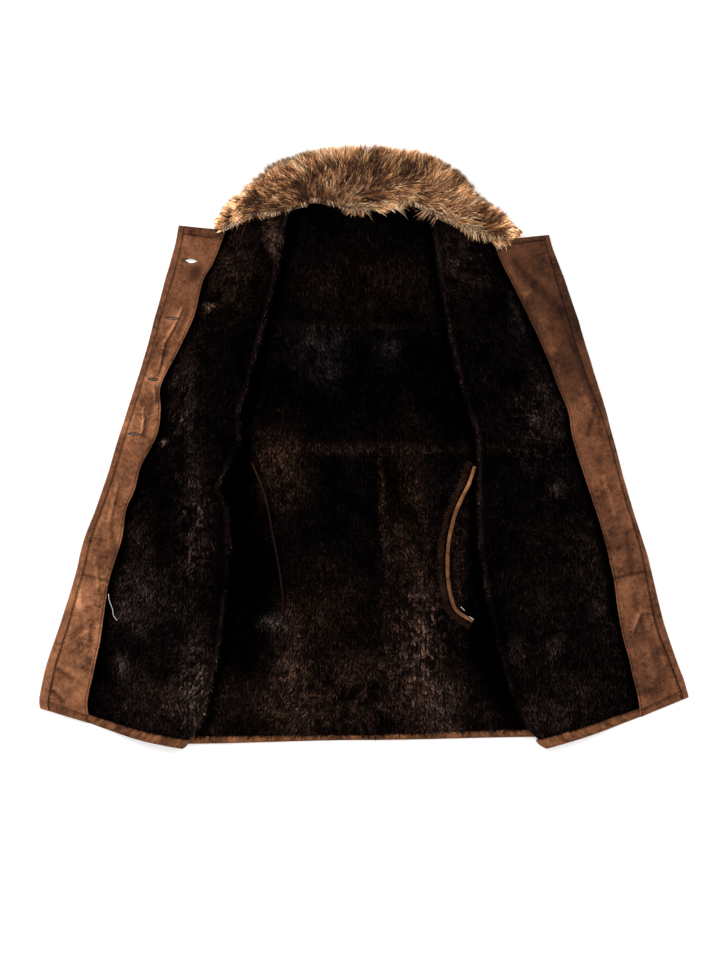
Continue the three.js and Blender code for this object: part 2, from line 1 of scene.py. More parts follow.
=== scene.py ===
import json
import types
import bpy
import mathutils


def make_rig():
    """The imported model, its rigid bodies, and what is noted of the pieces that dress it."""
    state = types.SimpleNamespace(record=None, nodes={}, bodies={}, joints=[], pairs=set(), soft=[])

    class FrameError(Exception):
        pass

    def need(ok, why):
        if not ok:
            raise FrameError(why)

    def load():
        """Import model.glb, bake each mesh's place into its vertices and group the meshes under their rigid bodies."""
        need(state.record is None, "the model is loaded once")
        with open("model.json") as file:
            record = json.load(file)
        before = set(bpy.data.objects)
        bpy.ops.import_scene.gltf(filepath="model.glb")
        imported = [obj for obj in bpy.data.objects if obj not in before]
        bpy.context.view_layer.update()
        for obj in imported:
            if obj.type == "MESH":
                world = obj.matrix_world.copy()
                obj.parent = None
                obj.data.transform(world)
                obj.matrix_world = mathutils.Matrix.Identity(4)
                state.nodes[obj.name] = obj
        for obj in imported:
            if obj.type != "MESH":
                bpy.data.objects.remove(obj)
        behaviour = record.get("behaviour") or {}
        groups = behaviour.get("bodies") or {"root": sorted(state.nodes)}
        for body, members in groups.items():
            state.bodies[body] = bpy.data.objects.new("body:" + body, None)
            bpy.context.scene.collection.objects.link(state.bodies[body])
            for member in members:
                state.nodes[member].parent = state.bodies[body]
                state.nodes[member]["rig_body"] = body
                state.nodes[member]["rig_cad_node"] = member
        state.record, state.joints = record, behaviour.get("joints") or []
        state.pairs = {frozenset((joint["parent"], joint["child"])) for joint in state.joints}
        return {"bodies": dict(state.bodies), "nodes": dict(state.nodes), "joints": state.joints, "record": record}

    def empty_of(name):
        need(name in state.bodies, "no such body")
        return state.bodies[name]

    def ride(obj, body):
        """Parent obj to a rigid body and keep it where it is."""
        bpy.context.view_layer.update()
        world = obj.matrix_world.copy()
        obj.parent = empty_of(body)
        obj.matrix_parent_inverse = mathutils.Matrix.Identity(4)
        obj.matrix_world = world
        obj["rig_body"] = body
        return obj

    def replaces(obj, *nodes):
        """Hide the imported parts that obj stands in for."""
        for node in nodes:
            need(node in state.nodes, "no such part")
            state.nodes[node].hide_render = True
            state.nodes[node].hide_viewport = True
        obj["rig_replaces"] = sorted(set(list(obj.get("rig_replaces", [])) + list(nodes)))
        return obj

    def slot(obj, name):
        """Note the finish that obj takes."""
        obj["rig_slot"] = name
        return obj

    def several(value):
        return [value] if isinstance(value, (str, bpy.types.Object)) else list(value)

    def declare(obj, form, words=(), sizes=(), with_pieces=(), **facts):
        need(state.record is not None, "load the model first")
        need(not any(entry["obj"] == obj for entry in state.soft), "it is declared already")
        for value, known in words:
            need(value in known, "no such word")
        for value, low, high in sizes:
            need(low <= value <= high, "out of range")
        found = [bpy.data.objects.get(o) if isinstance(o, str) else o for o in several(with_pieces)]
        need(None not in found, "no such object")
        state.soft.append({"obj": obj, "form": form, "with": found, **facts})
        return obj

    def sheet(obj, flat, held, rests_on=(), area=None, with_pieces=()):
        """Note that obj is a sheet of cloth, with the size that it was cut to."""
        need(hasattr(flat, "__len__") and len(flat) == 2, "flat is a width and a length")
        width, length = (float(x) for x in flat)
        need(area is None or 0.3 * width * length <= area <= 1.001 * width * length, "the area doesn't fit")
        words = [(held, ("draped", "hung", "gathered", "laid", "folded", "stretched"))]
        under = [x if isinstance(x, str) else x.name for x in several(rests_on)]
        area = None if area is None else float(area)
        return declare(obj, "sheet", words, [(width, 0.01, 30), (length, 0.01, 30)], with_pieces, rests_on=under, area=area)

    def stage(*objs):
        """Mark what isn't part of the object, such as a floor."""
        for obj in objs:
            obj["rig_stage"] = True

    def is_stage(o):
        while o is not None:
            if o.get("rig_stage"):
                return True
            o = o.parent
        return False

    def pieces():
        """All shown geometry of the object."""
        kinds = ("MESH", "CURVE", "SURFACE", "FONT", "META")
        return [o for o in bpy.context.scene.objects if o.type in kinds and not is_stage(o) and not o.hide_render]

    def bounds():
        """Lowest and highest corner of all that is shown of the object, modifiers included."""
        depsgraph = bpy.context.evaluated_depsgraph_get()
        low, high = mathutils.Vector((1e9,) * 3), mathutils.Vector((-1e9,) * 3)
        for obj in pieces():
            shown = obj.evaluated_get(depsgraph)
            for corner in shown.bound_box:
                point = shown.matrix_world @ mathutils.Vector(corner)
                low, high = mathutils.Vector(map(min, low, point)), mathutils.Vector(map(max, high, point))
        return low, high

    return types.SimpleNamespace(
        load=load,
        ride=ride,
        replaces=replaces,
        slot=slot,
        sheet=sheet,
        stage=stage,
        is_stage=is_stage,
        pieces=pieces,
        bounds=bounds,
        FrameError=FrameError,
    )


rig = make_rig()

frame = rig.load()

import json

import bpy
import numpy as np
from mathutils import Vector

cad_low, cad_high = (list(corner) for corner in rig.bounds())
scene = bpy.context.scene

# ---- Studio --------------------------------------------------------------------------------------
# A pale table seen from straight above, with soft light from all round, a large soft lamp over each
# shoulder of the coat and a weaker one past its hem.

VIEW_HIGH = 1.536        # metres of table from the bottom of the view to its top
VIEW_CENTRE = (-0.0064, -0.0536)

camera_data = bpy.data.cameras.new("camera")
camera_data.lens = 85
camera_data.sensor_width = 36
camera = bpy.data.objects.new("camera", camera_data)
camera.location = (*VIEW_CENTRE, VIEW_HIGH * camera_data.lens / camera_data.sensor_width + 0.015)
scene.collection.objects.link(camera)
scene.camera = camera


def lamp(name, place, size, energy):
    """A square soft lamp that faces the middle of the coat and isn't itself seen."""
    data = bpy.data.lights.new(name, "AREA")
    data.size, data.energy = size, energy
    thing = bpy.data.objects.new(name, data)
    thing.location = place
    thing.rotation_euler = Vector(place).to_track_quat("Z", "Y").to_euler()
    thing.visible_camera = False
    scene.collection.objects.link(thing)


lamp("left_lamp", (-1.5, 1.1, 1.6), 0.9, 26)
lamp("right_lamp", (1.6, 0.8, 1.5), 0.9, 18)
lamp("hem_lamp", (0.2, -1.9, 1.5), 1.2, 9)
world = bpy.data.worlds.new("soft_room")
world.use_nodes = True
world.node_tree.nodes["Background"].inputs["Color"].default_value = (1, 1, 1, 1)
world.node_tree.nodes["Background"].inputs["Strength"].default_value = 0.8
scene.world = world
scene.view_settings.view_transform = "Standard"

floor_mesh = bpy.data.meshes.new("table_top")
floor_mesh.from_pydata([(-9, -9, 0), (9, -9, 0), (9, 9, 0), (-9, 9, 0)], [], [(0, 1, 2, 3)])
floor = bpy.data.objects.new("table_top", floor_mesh)
floor_look = bpy.data.materials.new("pale_table")
floor_look.use_nodes = True
floor_look.node_tree.nodes["Principled BSDF"].inputs["Base Color"].default_value = (0.93, 0.93, 0.93, 1)
floor_look.node_tree.nodes["Principled BSDF"].inputs["Roughness"].default_value = 0.9
floor_look.node_tree.nodes["Principled BSDF"].inputs["Emission Color"].default_value = (1, 1, 1, 1)
floor_look.node_tree.nodes["Principled BSDF"].inputs["Emission Strength"].default_value = 0.2
floor_mesh.materials.append(floor_look)
scene.collection.objects.link(floor)
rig.stage(floor)

# ---- Back ----------------------------------------------------------------------------------------
# Four panels of shearling sewn edge to edge: a yoke, a body and two skirt halves. Each is sheepskin,
# suede outside and sheared dark wool inside, and lies wool up over the sleeves.

MM = 0.001               # every size below is in millimetres
FUR = 7                  # hide and sheared wool together
SUEDE = 2.2              # suede alone
SEAM = 0.3               # between pieces sewn edge to edge
REST = 0.5               # between layers that lie on each other
ROW = {"neck": 0, "yoke": 4, "waist": 8, "facing_seam": 13, "hem_top": 17, "hem": 18}


def smooth(s):
    """0 below 0, 1 above 1, and three s squared less two s cubed between."""
    s = np.clip(s, 0, 1)
    return s * s * (3 - 2 * s)


def stations(columns, rows):
    """A table of rows as one array for each named column."""
    return dict(zip(columns.split(), np.array(rows, float).T))


def along(table, t):
    """Every column of a table at the fractional rows t, on a Catmull-Rom curve through its rows."""
    found = {}
    for name, column in table.items():
        last = len(column) - 1
        i = np.clip(np.floor(t), 0, last - 1).astype(int)
        f = t - i
        a, b, c, d = (column[np.clip(i + k, 0, last)] for k in (-1, 0, 1, 2))
        bend = c - a + f * (2 * a - 5 * b + 4 * c - d + f * (3 * b - a - 3 * c + d))
        found[name] = b + f / 2 * bend
    return found


# Sections across the coat from neck to hem, the same rows for fronts and back. A front's columns are
# distances out from the centre-back line to its fold, its facing and its edge, with their heights up
# the coat; the width of its bound edge; how far it is tucked back under its fold; how far it bellies
# down between fold and facing; and how far the back's side corner stops short of it.
FRONT_COLUMNS = "fold fold_y facing facing_y edge edge_y band tuck hang inset"
FRONTS = {
    "r": stations(FRONT_COLUMNS, [
        (121, 380, 222, 347, 297.5, 355, 9, 12, 0, 0),
        (129, 340, 232, 322, 303, 325, 9, 16, 0, 0),
        (138, 297, 243, 293, 312, 293, 11, 20, 0, 0),
        (143, 262, 259, 265, 320, 265, 11, 23, 0, 0),
        (157, 206, 274, 206, 336, 206, 9, 28, 0, 0),
        (173, 150, 301, 150, 351, 150, 9, 34, 0, 0),
        (187, 98, 326, 98, 367, 98, 9, 42, 0, 0),
        (200, 58, 327, 60, 379, 60, 9, 48, 0, 0),
        (198, 14, 332, 20, 392, 20, 9, 52, 0, 0),
        (217, -30, 358, -30, 407, -30, 9, 52, 0, 0),
        (234, -65, 368, -68, 419, -67, 9, 50, 0, 0),
        (218, -98, 381, -100, 430, -99, 9, 54, 0, 0),
        (216, -150, 390, -150, 449, -148, 10, 54, 0, 0),
        (217, -205, 409, -216, 463, -203, 10, 54, 0, 0),
        (227, -290, 421, -292, 487, -284, 12, 54, 0, 0),
        (238, -350, 431, -350, 508, -344, 14, 54, 0, 0),
        (256, -424, 444, -404, 517, -380, 14, 53, 2, 0),
        (277, -470, 443, -430, 521.6, -406, 14, 52, 4, 6),
        (288, -484, 441, -444, 520, -420, 14, 52, 4.5, 7),
    ]),
    "l": stations(FRONT_COLUMNS, [
        (110, 376, 208, 330, 297, 339.5, 8, 12, 0, 0),
        (112, 340, 214, 312, 303, 317, 9, 16, 0, 0),
        (118, 297, 224, 288, 314, 289, 11, 20, 0, 0),
        (124, 258, 242, 253, 327, 253, 14, 23, 0, 0),
        (134, 203, 266, 203, 343.5, 203, 15, 28, 0, 0),
        (144, 150, 291, 150, 359.5, 150, 15, 34, 0, 0),
        (156, 98, 310, 98, 375.5, 98, 13, 42, 0, 0),
        (169, 55, 328, 55, 388.5, 55, 9, 48, 0, 0),
        (182, 18, 333, 20, 397.5, 20, 7, 52, 0, 0),
        (182, -30, 348, -30, 411, -30, 6, 52, 0, 0),
        (182, -65, 360, -66, 421, -66, 6, 50, 0, 0),
        (183, -100, 371, -100, 431, -99, 6, 54, 0, 0),
        (185, -150, 387, -150, 447, -149, 6, 54, 0, 0),
        (192, -208, 400, -212, 461.5, -198, 9, 54, 0, 0),
        (208, -290, 412, -287, 481, -282, 12, 54, 0, 0),
        (226, -350, 427, -350, 504.5, -350, 11, 54, 0, 0),
        (249, -424, 439, -396, 513, -372, 10, 53, 1, 4),
        (274, -470, 443, -420, 518, -388, 9, 52, 2, 17),
        (290, -484, 444, -434, 521.6, -402, 9, 52, 2, 18),
    ]),
}

# The back: its height up the coat on the centre line, how high the sleeves beneath hold it, what a
# pocket bag adds under the fronts' tuck, how high the buttons hold the left front's edge, and how far
# to the left the skirt's centre seam lies.
BACK = stations("y lift pocket buttons seam", [
    (380, 0, 0, 5, 24), (340, 13.5, 0, 5, 24), (297, 13.5, 0, 5, 24), (260, 13.5, 0, 5, 24),
    (211, 13.5, 0, 5, 24), (150, 13.5, 0, 5, 24), (98, 13.5, 0, 5, 24), (56, 13.5, 0, 5, 24),
    (12, 13.5, 7.1, 5, 24), (-30, 13.5, 7.1, 5, 24), (-65, 13.5, 7.1, 2.5, 23),
    (-98, 13.5, 7.1, 0, 24), (-150, 13.5, 7.1, 0, 27), (-207, 13.5, 7.1, 0, 37),
    (-290, 13.5, 7.1, 0, 44), (-350, 3, 0, 0, 48), (-418, 0, 0, 0, 47), (-462, 0, 0, 0, 45),
    (-471, 0, 0, 0, 45)])

# Soft ridges in the back, from one end to the other: the five large ones, then smaller ones.
RIDGES = stations("x0 y0 x1 y1 wide high", [
    (-80, -235, -112, -390, 18, 6), (62, -235, 108, -395, 24, 6), (-92, 190, -48, 95, 22, 3.5),
    (70, 175, 96, 60, 22, 3), (-60, 20, -36, -110, 20, 3),
    (-30, -300, -44, -430, 13, 1.8), (38, -320, 50, -440, 12, 1.6), (-70, 330, -20, 250, 15, 1.6),
    (60, 320, 20, 262, 14, 1.4), (20, -60, 58, -170, 16, 1.8), (-110, 60, -76, 20, 13, 1.6),
    (104, 0, 126, -90, 14, 1.6),
])


def lumps(x, y, size, seed):
    """Soft uneven lumps from -1 to 1, about size across: random heights at the corners of a square
    lattice, blended smoothly between them."""
    heights = np.random.default_rng(seed).uniform(-1, 1, (97, 97))
    u, v = np.asarray(x) / size + 485.3, np.asarray(y) / size + 485.3
    i, j = np.floor(u).astype(int), np.floor(v).astype(int)
    f, g = smooth(u - i), smooth(v - j)
    near = heights[i % 97, j % 97] * (1 - f) + heights[(i + 1) % 97, j % 97] * f
    far = heights[i % 97, (j + 1) % 97] * (1 - f) + heights[(i + 1) % 97, (j + 1) % 97] * f
    return near * (1 - g) + far * g


def ridges(x, y, table):
    """The sum of soft ridges: each falls off as a bell curve from the line between its two ends."""
    total = np.zeros(np.shape(x))
    for x0, y0, x1, y1, wide, high in zip(*table.values()):
        dx, dy = x1 - x0, y1 - y0
        s = np.clip(((x - x0) * dx + (y - y0) * dy) / (dx * dx + dy * dy), 0, 1)
        apart = np.hypot(x - x0 - s * dx, y - y0 - s * dy)
        total += high * np.exp(-((apart / wide) ** 2))
    return total


# How much higher than its straight run the neck's sewn line lies, along the coat's width.
NECK_WAVES = ((-222, -210, -201, -165, -136, -99, -83, -57, -30, 0, 22, 40, 70, 94, 112, 150, 185, 208),
              (0, 9, 12, 3, -4, 4, 12, 8, 2, -2, 2, 5, 12, 4, -5, -8, -4, 0))


def neck_waves(x, y):
    """How far a place near the neck is moved up the coat by the waves in its sewn line."""
    return np.interp(x, *NECK_WAVES) * smooth((y - 335) / 40)


def back_place(t, across):
    """The back's hide. x is the share across of the half width, negative to the right. y bends from
    the centre line's to the folds'. z rises over the sleeves, with ridges where the back is open."""
    row = along(BACK, t)
    right, left = along(FRONTS["r"], t), along(FRONTS["l"], t)
    front = {k: np.where(across < 0, right[k], left[k]) for k in right}
    x = across * (front["fold"] + front["tuck"])
    out = np.abs(x)
    slope = (front["facing_y"] - front["fold_y"]) / (front["facing"] - front["fold"])
    side_y = front["fold_y"] + front["inset"] + slope * np.maximum(0, out - front["fold"])
    y = row["y"] + (side_y - row["y"]) * smooth(out / front["fold"])
    y = y + neck_waves(x, y)
    open_back = smooth((out - 27) / 33) * (1 - smooth((out - front["fold"] + 50) / 38))
    z = row["lift"] * smooth((out - 25) / 45) + ridges(x, y, RIDGES) * open_back
    return np.stack([x, y, np.maximum(z, 0)], -1)


def linear(red, green, blue):
    """A colour seen on a screen, 0 to 255, as the amounts of light that a material takes."""
    return (np.array([red, green, blue]) / 255) ** 2.2


def piece_of(name, points, faces, looks, tone=None, shade_and_tone=None, which=None):
    """A smooth mesh piece from points in millimetres and faces of equal corners, turned so that its
    volume is positive. tone is its pile's colour, with any light and shade painted into it, and the
    argument after it is its suede's painted light and shade over the suede's uneven tone, one for each point."""
    corners = points[faces]
    a, b, c = corners[:, 0], corners[:, 1], corners[:, 2]
    volume = np.einsum("ij,ij->", a, np.cross(b, c))
    if faces.shape[1] == 4:
        volume += np.einsum("ij,ij->", a, np.cross(c, corners[:, 3]))
    if volume < 0:
        faces = faces[:, ::-1]
    mesh = bpy.data.meshes.new(name)
    mesh.vertices.add(len(points))
    mesh.vertices.foreach_set("co", (points * MM).ravel())
    mesh.loops.add(faces.size)
    mesh.loops.foreach_set("vertex_index", faces.ravel().astype(np.int32))
    mesh.polygons.add(len(faces))
    mesh.polygons.foreach_set("loop_start", np.arange(0, faces.size, faces.shape[1], dtype=np.int32))
    for look in looks:
        mesh.materials.append(look)
    if which is not None:
        mesh.polygons.foreach_set("material_index", which.astype(np.int32))
    mesh.update(calc_edges=True)
    for attribute, values in (("tone", tone), ("shade_and_tone", shade_and_tone)):
        colours = np.ones((len(points), 4))
        if values is not None:
            colours[:, :3] = values
        layer = mesh.attributes.new(attribute, "FLOAT_COLOR", "POINT")
        layer.data.foreach_set("color", colours.astype(np.float32).ravel())
    mesh.shade_smooth()
    piece = bpy.data.objects.new(name, mesh)
    scene.collection.objects.link(piece)
    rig.ride(piece, "root")
    return piece


def slab(upper, lower):
    """A closed body between two matching grids: the points, its quads, and how many are on top."""
    rows, columns = upper.shape[:2]
    count = rows * columns
    i = np.arange(count).reshape(rows, columns)
    top = np.stack([i[:-1, :-1], i[:-1, 1:], i[1:, 1:], i[1:, :-1]], -1).reshape(-1, 4)
    ring = np.concatenate([i[0, :-1], i[:-1, -1], i[-1, :0:-1], i[:0:-1, 0]])
    onward = np.roll(ring, -1)
    wall = np.stack([onward, ring, ring + count, onward + count], -1)
    points = np.concatenate([upper.reshape(-1, 3), lower.reshape(-1, 3)])
    return points, np.concatenate([top, wall, top[:, ::-1] + count]), len(top)


def lengths(grid, axis):
    """How far each line of a grid is from its start, measured along it."""
    steps = np.linalg.norm(np.diff(grid, axis=axis), axis=-1)
    start = np.zeros_like(np.take(steps, [0], axis=axis))
    return np.cumsum(np.concatenate([start, steps], axis=axis), axis=axis)


def cells(grid):
    """The area of each cell of a grid: half the cross product of its diagonals."""
    one, other = grid[1:, 1:] - grid[:-1, :-1], grid[1:, :-1] - grid[:-1, 1:]
    return np.linalg.norm(np.cross(one, other), axis=-1) / 2


def cut_of(grid):
    """The flat cut that a laid panel was sewn from, in metres: its longest width and length, and its
    area, because hide that lies flat neither stretches nor shrinks."""
    flat = (float(lengths(grid, 1)[:, -1].max()) * MM, float(lengths(grid, 0)[-1].max()) * MM)
    return {"flat": flat, "area": min(float(cells(grid).sum()) * MM * MM, flat[0] * flat[1])}


def node(tree, kind, inputs=None, **settings):
    """A shader node with its settings, its plain inputs given as values and the others as links."""
    made = tree.nodes.new(kind)
    for key, value in settings.items():
        setattr(made, key, value)
    for key, value in (inputs or {}).items():
        if isinstance(value, bpy.types.NodeSocket):
            tree.links.new(value, made.inputs[key])
        else:
            made.inputs[key].default_value = value
    return made


def group(name, inputs, outputs):
    """A shader node group with named inputs and outputs, and the nodes that hold them."""
    tree = bpy.data.node_groups.new(name, "ShaderNodeTree")
    for title, kind in inputs.items():
        tree.interface.new_socket(title, in_out="INPUT", socket_type=kind)
    for title, kind in outputs.items():
        tree.interface.new_socket(title, in_out="OUTPUT", socket_type=kind)
    return tree, tree.nodes.new("NodeGroupInput"), tree.nodes.new("NodeGroupOutput")


COLOUR, NUMBER = "NodeSocketColor", "NodeSocketFloat"

# Napped suede: broad cloudy blotches, finer mottling and the streaks of a brushed nap between a dark
# and a light shade, multiplied by the piece's painted light and shade and its uneven tone, with a fine
# grain for its bump.
nap, nap_in, nap_out = group(
    "suede_nap", {"Dark": COLOUR, "Light": COLOUR, "Blotch": NUMBER},
    {"Colour": COLOUR, "Rough": NUMBER, "Height": NUMBER})
place = node(nap, "ShaderNodeTexCoord").outputs["Object"]
cloud = node(nap, "ShaderNodeTexNoise", {"Vector": place, "Scale": nap_in.outputs["Blotch"],
                                         "Detail": 5.0, "Roughness": 0.6})
mottle = node(nap, "ShaderNodeTexNoise", {"Vector": place, "Scale": 150.0, "Detail": 4.0,
                                          "Roughness": 0.7})
brushed = node(nap, "ShaderNodeMapping", {"Vector": place, "Scale": (900, 260, 900),
                                          "Rotation": (0, 0, 0.25)})
fibre = node(nap, "ShaderNodeTexNoise", {"Vector": brushed.outputs[0], "Scale": 1.0, "Detail": 3.0,
                                         "Roughness": 0.65})
rough_cloud = node(nap, "ShaderNodeMapRange", {"Value": cloud.outputs["Fac"], "From Min": 0.34,
                                               "From Max": 0.66})
share = node(nap, "ShaderNodeMath", {0: rough_cloud.outputs[0], 1: 0.45}, operation="MULTIPLY")
share = node(nap, "ShaderNodeMath", {0: mottle.outputs["Fac"], 1: 0.9, 2: share.outputs[0]},
             operation="MULTIPLY_ADD")
share = node(nap, "ShaderNodeMath", {0: fibre.outputs["Fac"], 1: 0.9, 2: share.outputs[0]},
             operation="MULTIPLY_ADD")
share = node(nap, "ShaderNodeMapRange", {"Value": share.outputs[0], "From Min": 0.8,
                                         "From Max": 1.42})
mixed = node(nap, "ShaderNodeMix", {0: share.outputs[0], 6: nap_in.outputs["Dark"],
                                    7: nap_in.outputs["Light"]}, data_type="RGBA")
# The piece's painted light and shade, with its uneven tone, read from its colour attribute.
light_and_tone_node = node(nap, "ShaderNodeAttribute", attribute_name="shade_and_tone")
shaded = node(nap, "ShaderNodeMix", {0: 1.0, 6: mixed.outputs[2], 7: light_and_tone_node.outputs["Color"]},
              data_type="RGBA", blend_type="MULTIPLY")
nap.links.new(shaded.outputs[2], nap_out.inputs["Colour"])
rough = node(nap, "ShaderNodeMapRange", {"Value": mottle.outputs["Fac"], "To Min": 0.82, "To Max": 1.0})
nap.links.new(rough.outputs[0], nap_out.inputs["Rough"])
grain = node(nap, "ShaderNodeMath", {0: mottle.outputs["Fac"], 1: 0.6, 2: fibre.outputs["Fac"]},
             operation="MULTIPLY_ADD")
nap.links.new(grain.outputs[0], nap_out.inputs["Height"])


def suede(name, dark, light, blotch, sheen=0.08):
    """A napped suede between two shades, with blotches of that many to the metre."""
    look = bpy.data.materials.new(name)
    look.use_nodes = True
    tree = look.node_tree
    skin = tree.nodes["Principled BSDF"]
    nap_node = node(tree, "ShaderNodeGroup", node_tree=nap)
    nap_node.inputs["Dark"].default_value = (*dark, 1)
    nap_node.inputs["Light"].default_value = (*light, 1)
    nap_node.inputs["Blotch"].default_value = blotch
    bump = node(tree, "ShaderNodeBump", {"Height": nap_node.outputs["Height"], "Strength": 0.5,
                                         "Distance": 0.0006})
    tree.links.new(nap_node.outputs["Colour"], skin.inputs["Base Color"])
    tree.links.new(nap_node.outputs["Rough"], skin.inputs["Roughness"])
    tree.links.new(bump.outputs[0], skin.inputs["Normal"])
    skin.inputs["Specular IOR Level"].default_value = 0.15
    skin.inputs["Sheen Weight"].default_value = sheen
    skin.inputs["Sheen Roughness"].default_value = 0.4
    skin.inputs["Sheen Tint"].default_value = (*np.sqrt(light), 1)
    return look


def wool(name, roughness, gloss, sheen, tint):
    """Wool or fur whose colour is the piece's tone, with any painted light and shade, broken up by fine fibres."""
    look = bpy.data.materials.new(name)
    look.use_nodes = True
    tree = look.node_tree
    skin = tree.nodes["Principled BSDF"]
    tone = node(tree, "ShaderNodeAttribute", attribute_name="tone")
    place = node(tree, "ShaderNodeTexCoord").outputs["Object"]
    stretched = node(tree, "ShaderNodeMapping", {"Vector": place, "Scale": (1100, 280, 700)})
    fibre = node(tree, "ShaderNodeTexNoise", {"Vector": stretched.outputs[0], "Scale": 1.0,
                                              "Detail": 3.0})
    streak = node(tree, "ShaderNodeMapRange", {"Value": fibre.outputs["Fac"], "From Min": 0.3,
                                               "From Max": 0.7, "To Min": 0.55, "To Max": 1.45})
    colour = node(tree, "ShaderNodeMix", {0: 1.0, 6: tone.outputs["Color"], 7: streak.outputs[0]},
                  data_type="RGBA", blend_type="MULTIPLY")
    bump = node(tree, "ShaderNodeBump", {"Height": fibre.outputs["Fac"], "Strength": 0.6,
                                         "Distance": 0.001})
    tree.links.new(colour.outputs[2], skin.inputs["Base Color"])
    tree.links.new(bump.outputs[0], skin.inputs["Normal"])
    skin.inputs["Roughness"].default_value = roughness
    skin.inputs["Specular IOR Level"].default_value = gloss
    skin.inputs["Sheen Weight"].default_value = sheen
    skin.inputs["Sheen Tint"].default_value = (*tint, 1)
    return look


outside_suede = suede("outside_suede", linear(72, 44, 27), linear(122, 84, 56), 14)
sheared = wool("sheared_wool", 0.7, 0.0, 0.0, (0.5, 0.4, 0.35))


def strands(name, path, half, tone, look):
    """Flat strands that taper at both ends: one point at the root and one at the tip, and a pair at
    each stop between, half to either side of the path. All are joined in one mesh."""
    count, stops = path.shape[:2]
    pairs = np.stack([path[:, 1:-1] - half, path[:, 1:-1] + half], 2).reshape(count, -1, 3)
    points = np.concatenate([path[:, :1], pairs, path[:, -1:]], 1)
    each = points.shape[1]
    ladder = [(0, 1, 2)]
    for a in range(1, each - 3, 2):
        ladder += [(a, a + 2, a + 1), (a + 1, a + 2, a + 3)]
    ladder.append((each - 3, each - 1, each - 2))
    faces = (np.arange(count)[:, None, None] * each + np.array(ladder)).reshape(-1, 3)
    tones = np.concatenate([tone[:, :1], np.repeat(tone[:, 1:-1], 2, axis=1), tone[:, -1:]], 1)
    return piece_of(name, points.reshape(-1, 3), faces, [look], tone=tones.reshape(-1, 3))


def unit(vectors):
    """The same directions, each one long."""
    return vectors / np.maximum(np.linalg.norm(vectors, axis=-1, keepdims=True), 1e-9)


# Painted sheen where the wool is brushed up and catches the light, with a few patches of the wool's
# own browner colour: middle, half width, half length, and how much of the warm and of the cool shade
# it adds.
SHEEN_AND_PATCHES = stations("x y wide long warm cool", [
    (-67, 154, 30, 40, 0.0, 0.11), (42, 162, 16, 20, 0.0, 0.08), (0, 262, 100, 48, 0.035, 0.0),
    (-136, -30, 36, 60, 0.13, 0.0), (-40, -400, 120, 50, 0.22, 0.03), (-116, -350, 22, 90, 0.16, 0.02),
    (92, -300, 22, 110, 0.20, 0.06), (128, -420, 26, 60, 0.14, 0.06), (46, -330, 24, 90, 0.10, 0.02),
    (-60, -250, 46, 60, 0.06, 0.0), (76, -120, 30, 120, 0.09, 0.0), (309, -63, 12, 10, 0.1, 0.16),
    (242, -326, 12, 24, 0.08, 0.09), (301, -318, 13, 16, 0.08, 0.09), (374, -254, 11, 9, 0.1, 0.12),
    (-387, -346, 9, 17, 0.15, 0.2), (-384, -262, 11, 12, 0.1, 0.14), (-340, -250, 70, 50, 0.03, 0.05),
    (-320, 9, 3.2, 3.2, 2.2, 1.3), (-250, 230, 11, 3.5, 0.55, 0.12), (-252, 222, 4, 7, 0.25, 0.05),
    (-144, 336, 11, 24, 0.34, 0.1), (-147, -278, 16, 10, 0.1, 0.4), (-300, 150, 40, 100, 0.05, 0.03),
    (-230, 300, 46, 60, 0.16, 0.02), (-330, -400, 60, 50, 0.07, 0.03), (246, 240, 12, 50, 0.03, 0.1),
    (300, 60, 60, 60, 0.04, 0.05), (150, 300, 40, 60, 0.05, 0.03), (-268, -110, 24, 100, 0.06, 0.05),
    (-276, 70, 6, 46, 0.08, 0.04), (-290, 40, 8, 14, 0.06, 0.08), (-268, -385, 26, 80, 0.10, 0.08),
    (262, -430, 60, 30, 0.08, 0.05), (-30, 196, 120, 6, 0.02, 0.03), (36, 0, 150, 9, 0.07, 0.02),
    (28, -60, 4, 60, 0.16, 0.02), (36, -160, 4, 60, 0.10, 0.02), (350, -190, 90, 130, 0.025, 0.02),
    (150, -200, 11, 80, 0.10, 0.02), (164, -90, 9, 60, 0.07, 0.01),
    (330, -390, 90, 70, 0.025, 0.02), (-370, -170, 50, 90, 0.04, 0.02)])
BLACK_WOOL, WARM, COOL = linear(13, 10.5, 10.5), linear(92, 66, 53), linear(88, 79, 77)

# Where it lies in shade: the two ends of each run, its half width and how deep the shade is.
SHADED = stations("x0 y0 x1 y1 wide high", [
    (190, -270, 236, -460, 26, 2.2), (-196, 0, -200, -230, 22, 1.6), (-150, -180, -190, -330, 20, 1.1),
    (-122, 100, -60, 60, 34, 0.5), (96, 180, 130, 60, 30, 0.8), (40, -30, 96, -160, 14, 0.7),
    (-186, 150, -172, 60, 20, 0.8), (-330, -60, -300, -140, 24, 0.6), (-250, -250, -300, -270, 16, 0.4)])
FOLD_HIGHLIGHT = 0.30          # how much painted highlight, in the warm and cool shades, the rim of a fold gets
BARE_HIDE = linear(120, 76, 50)     # the shorn hide under a facing


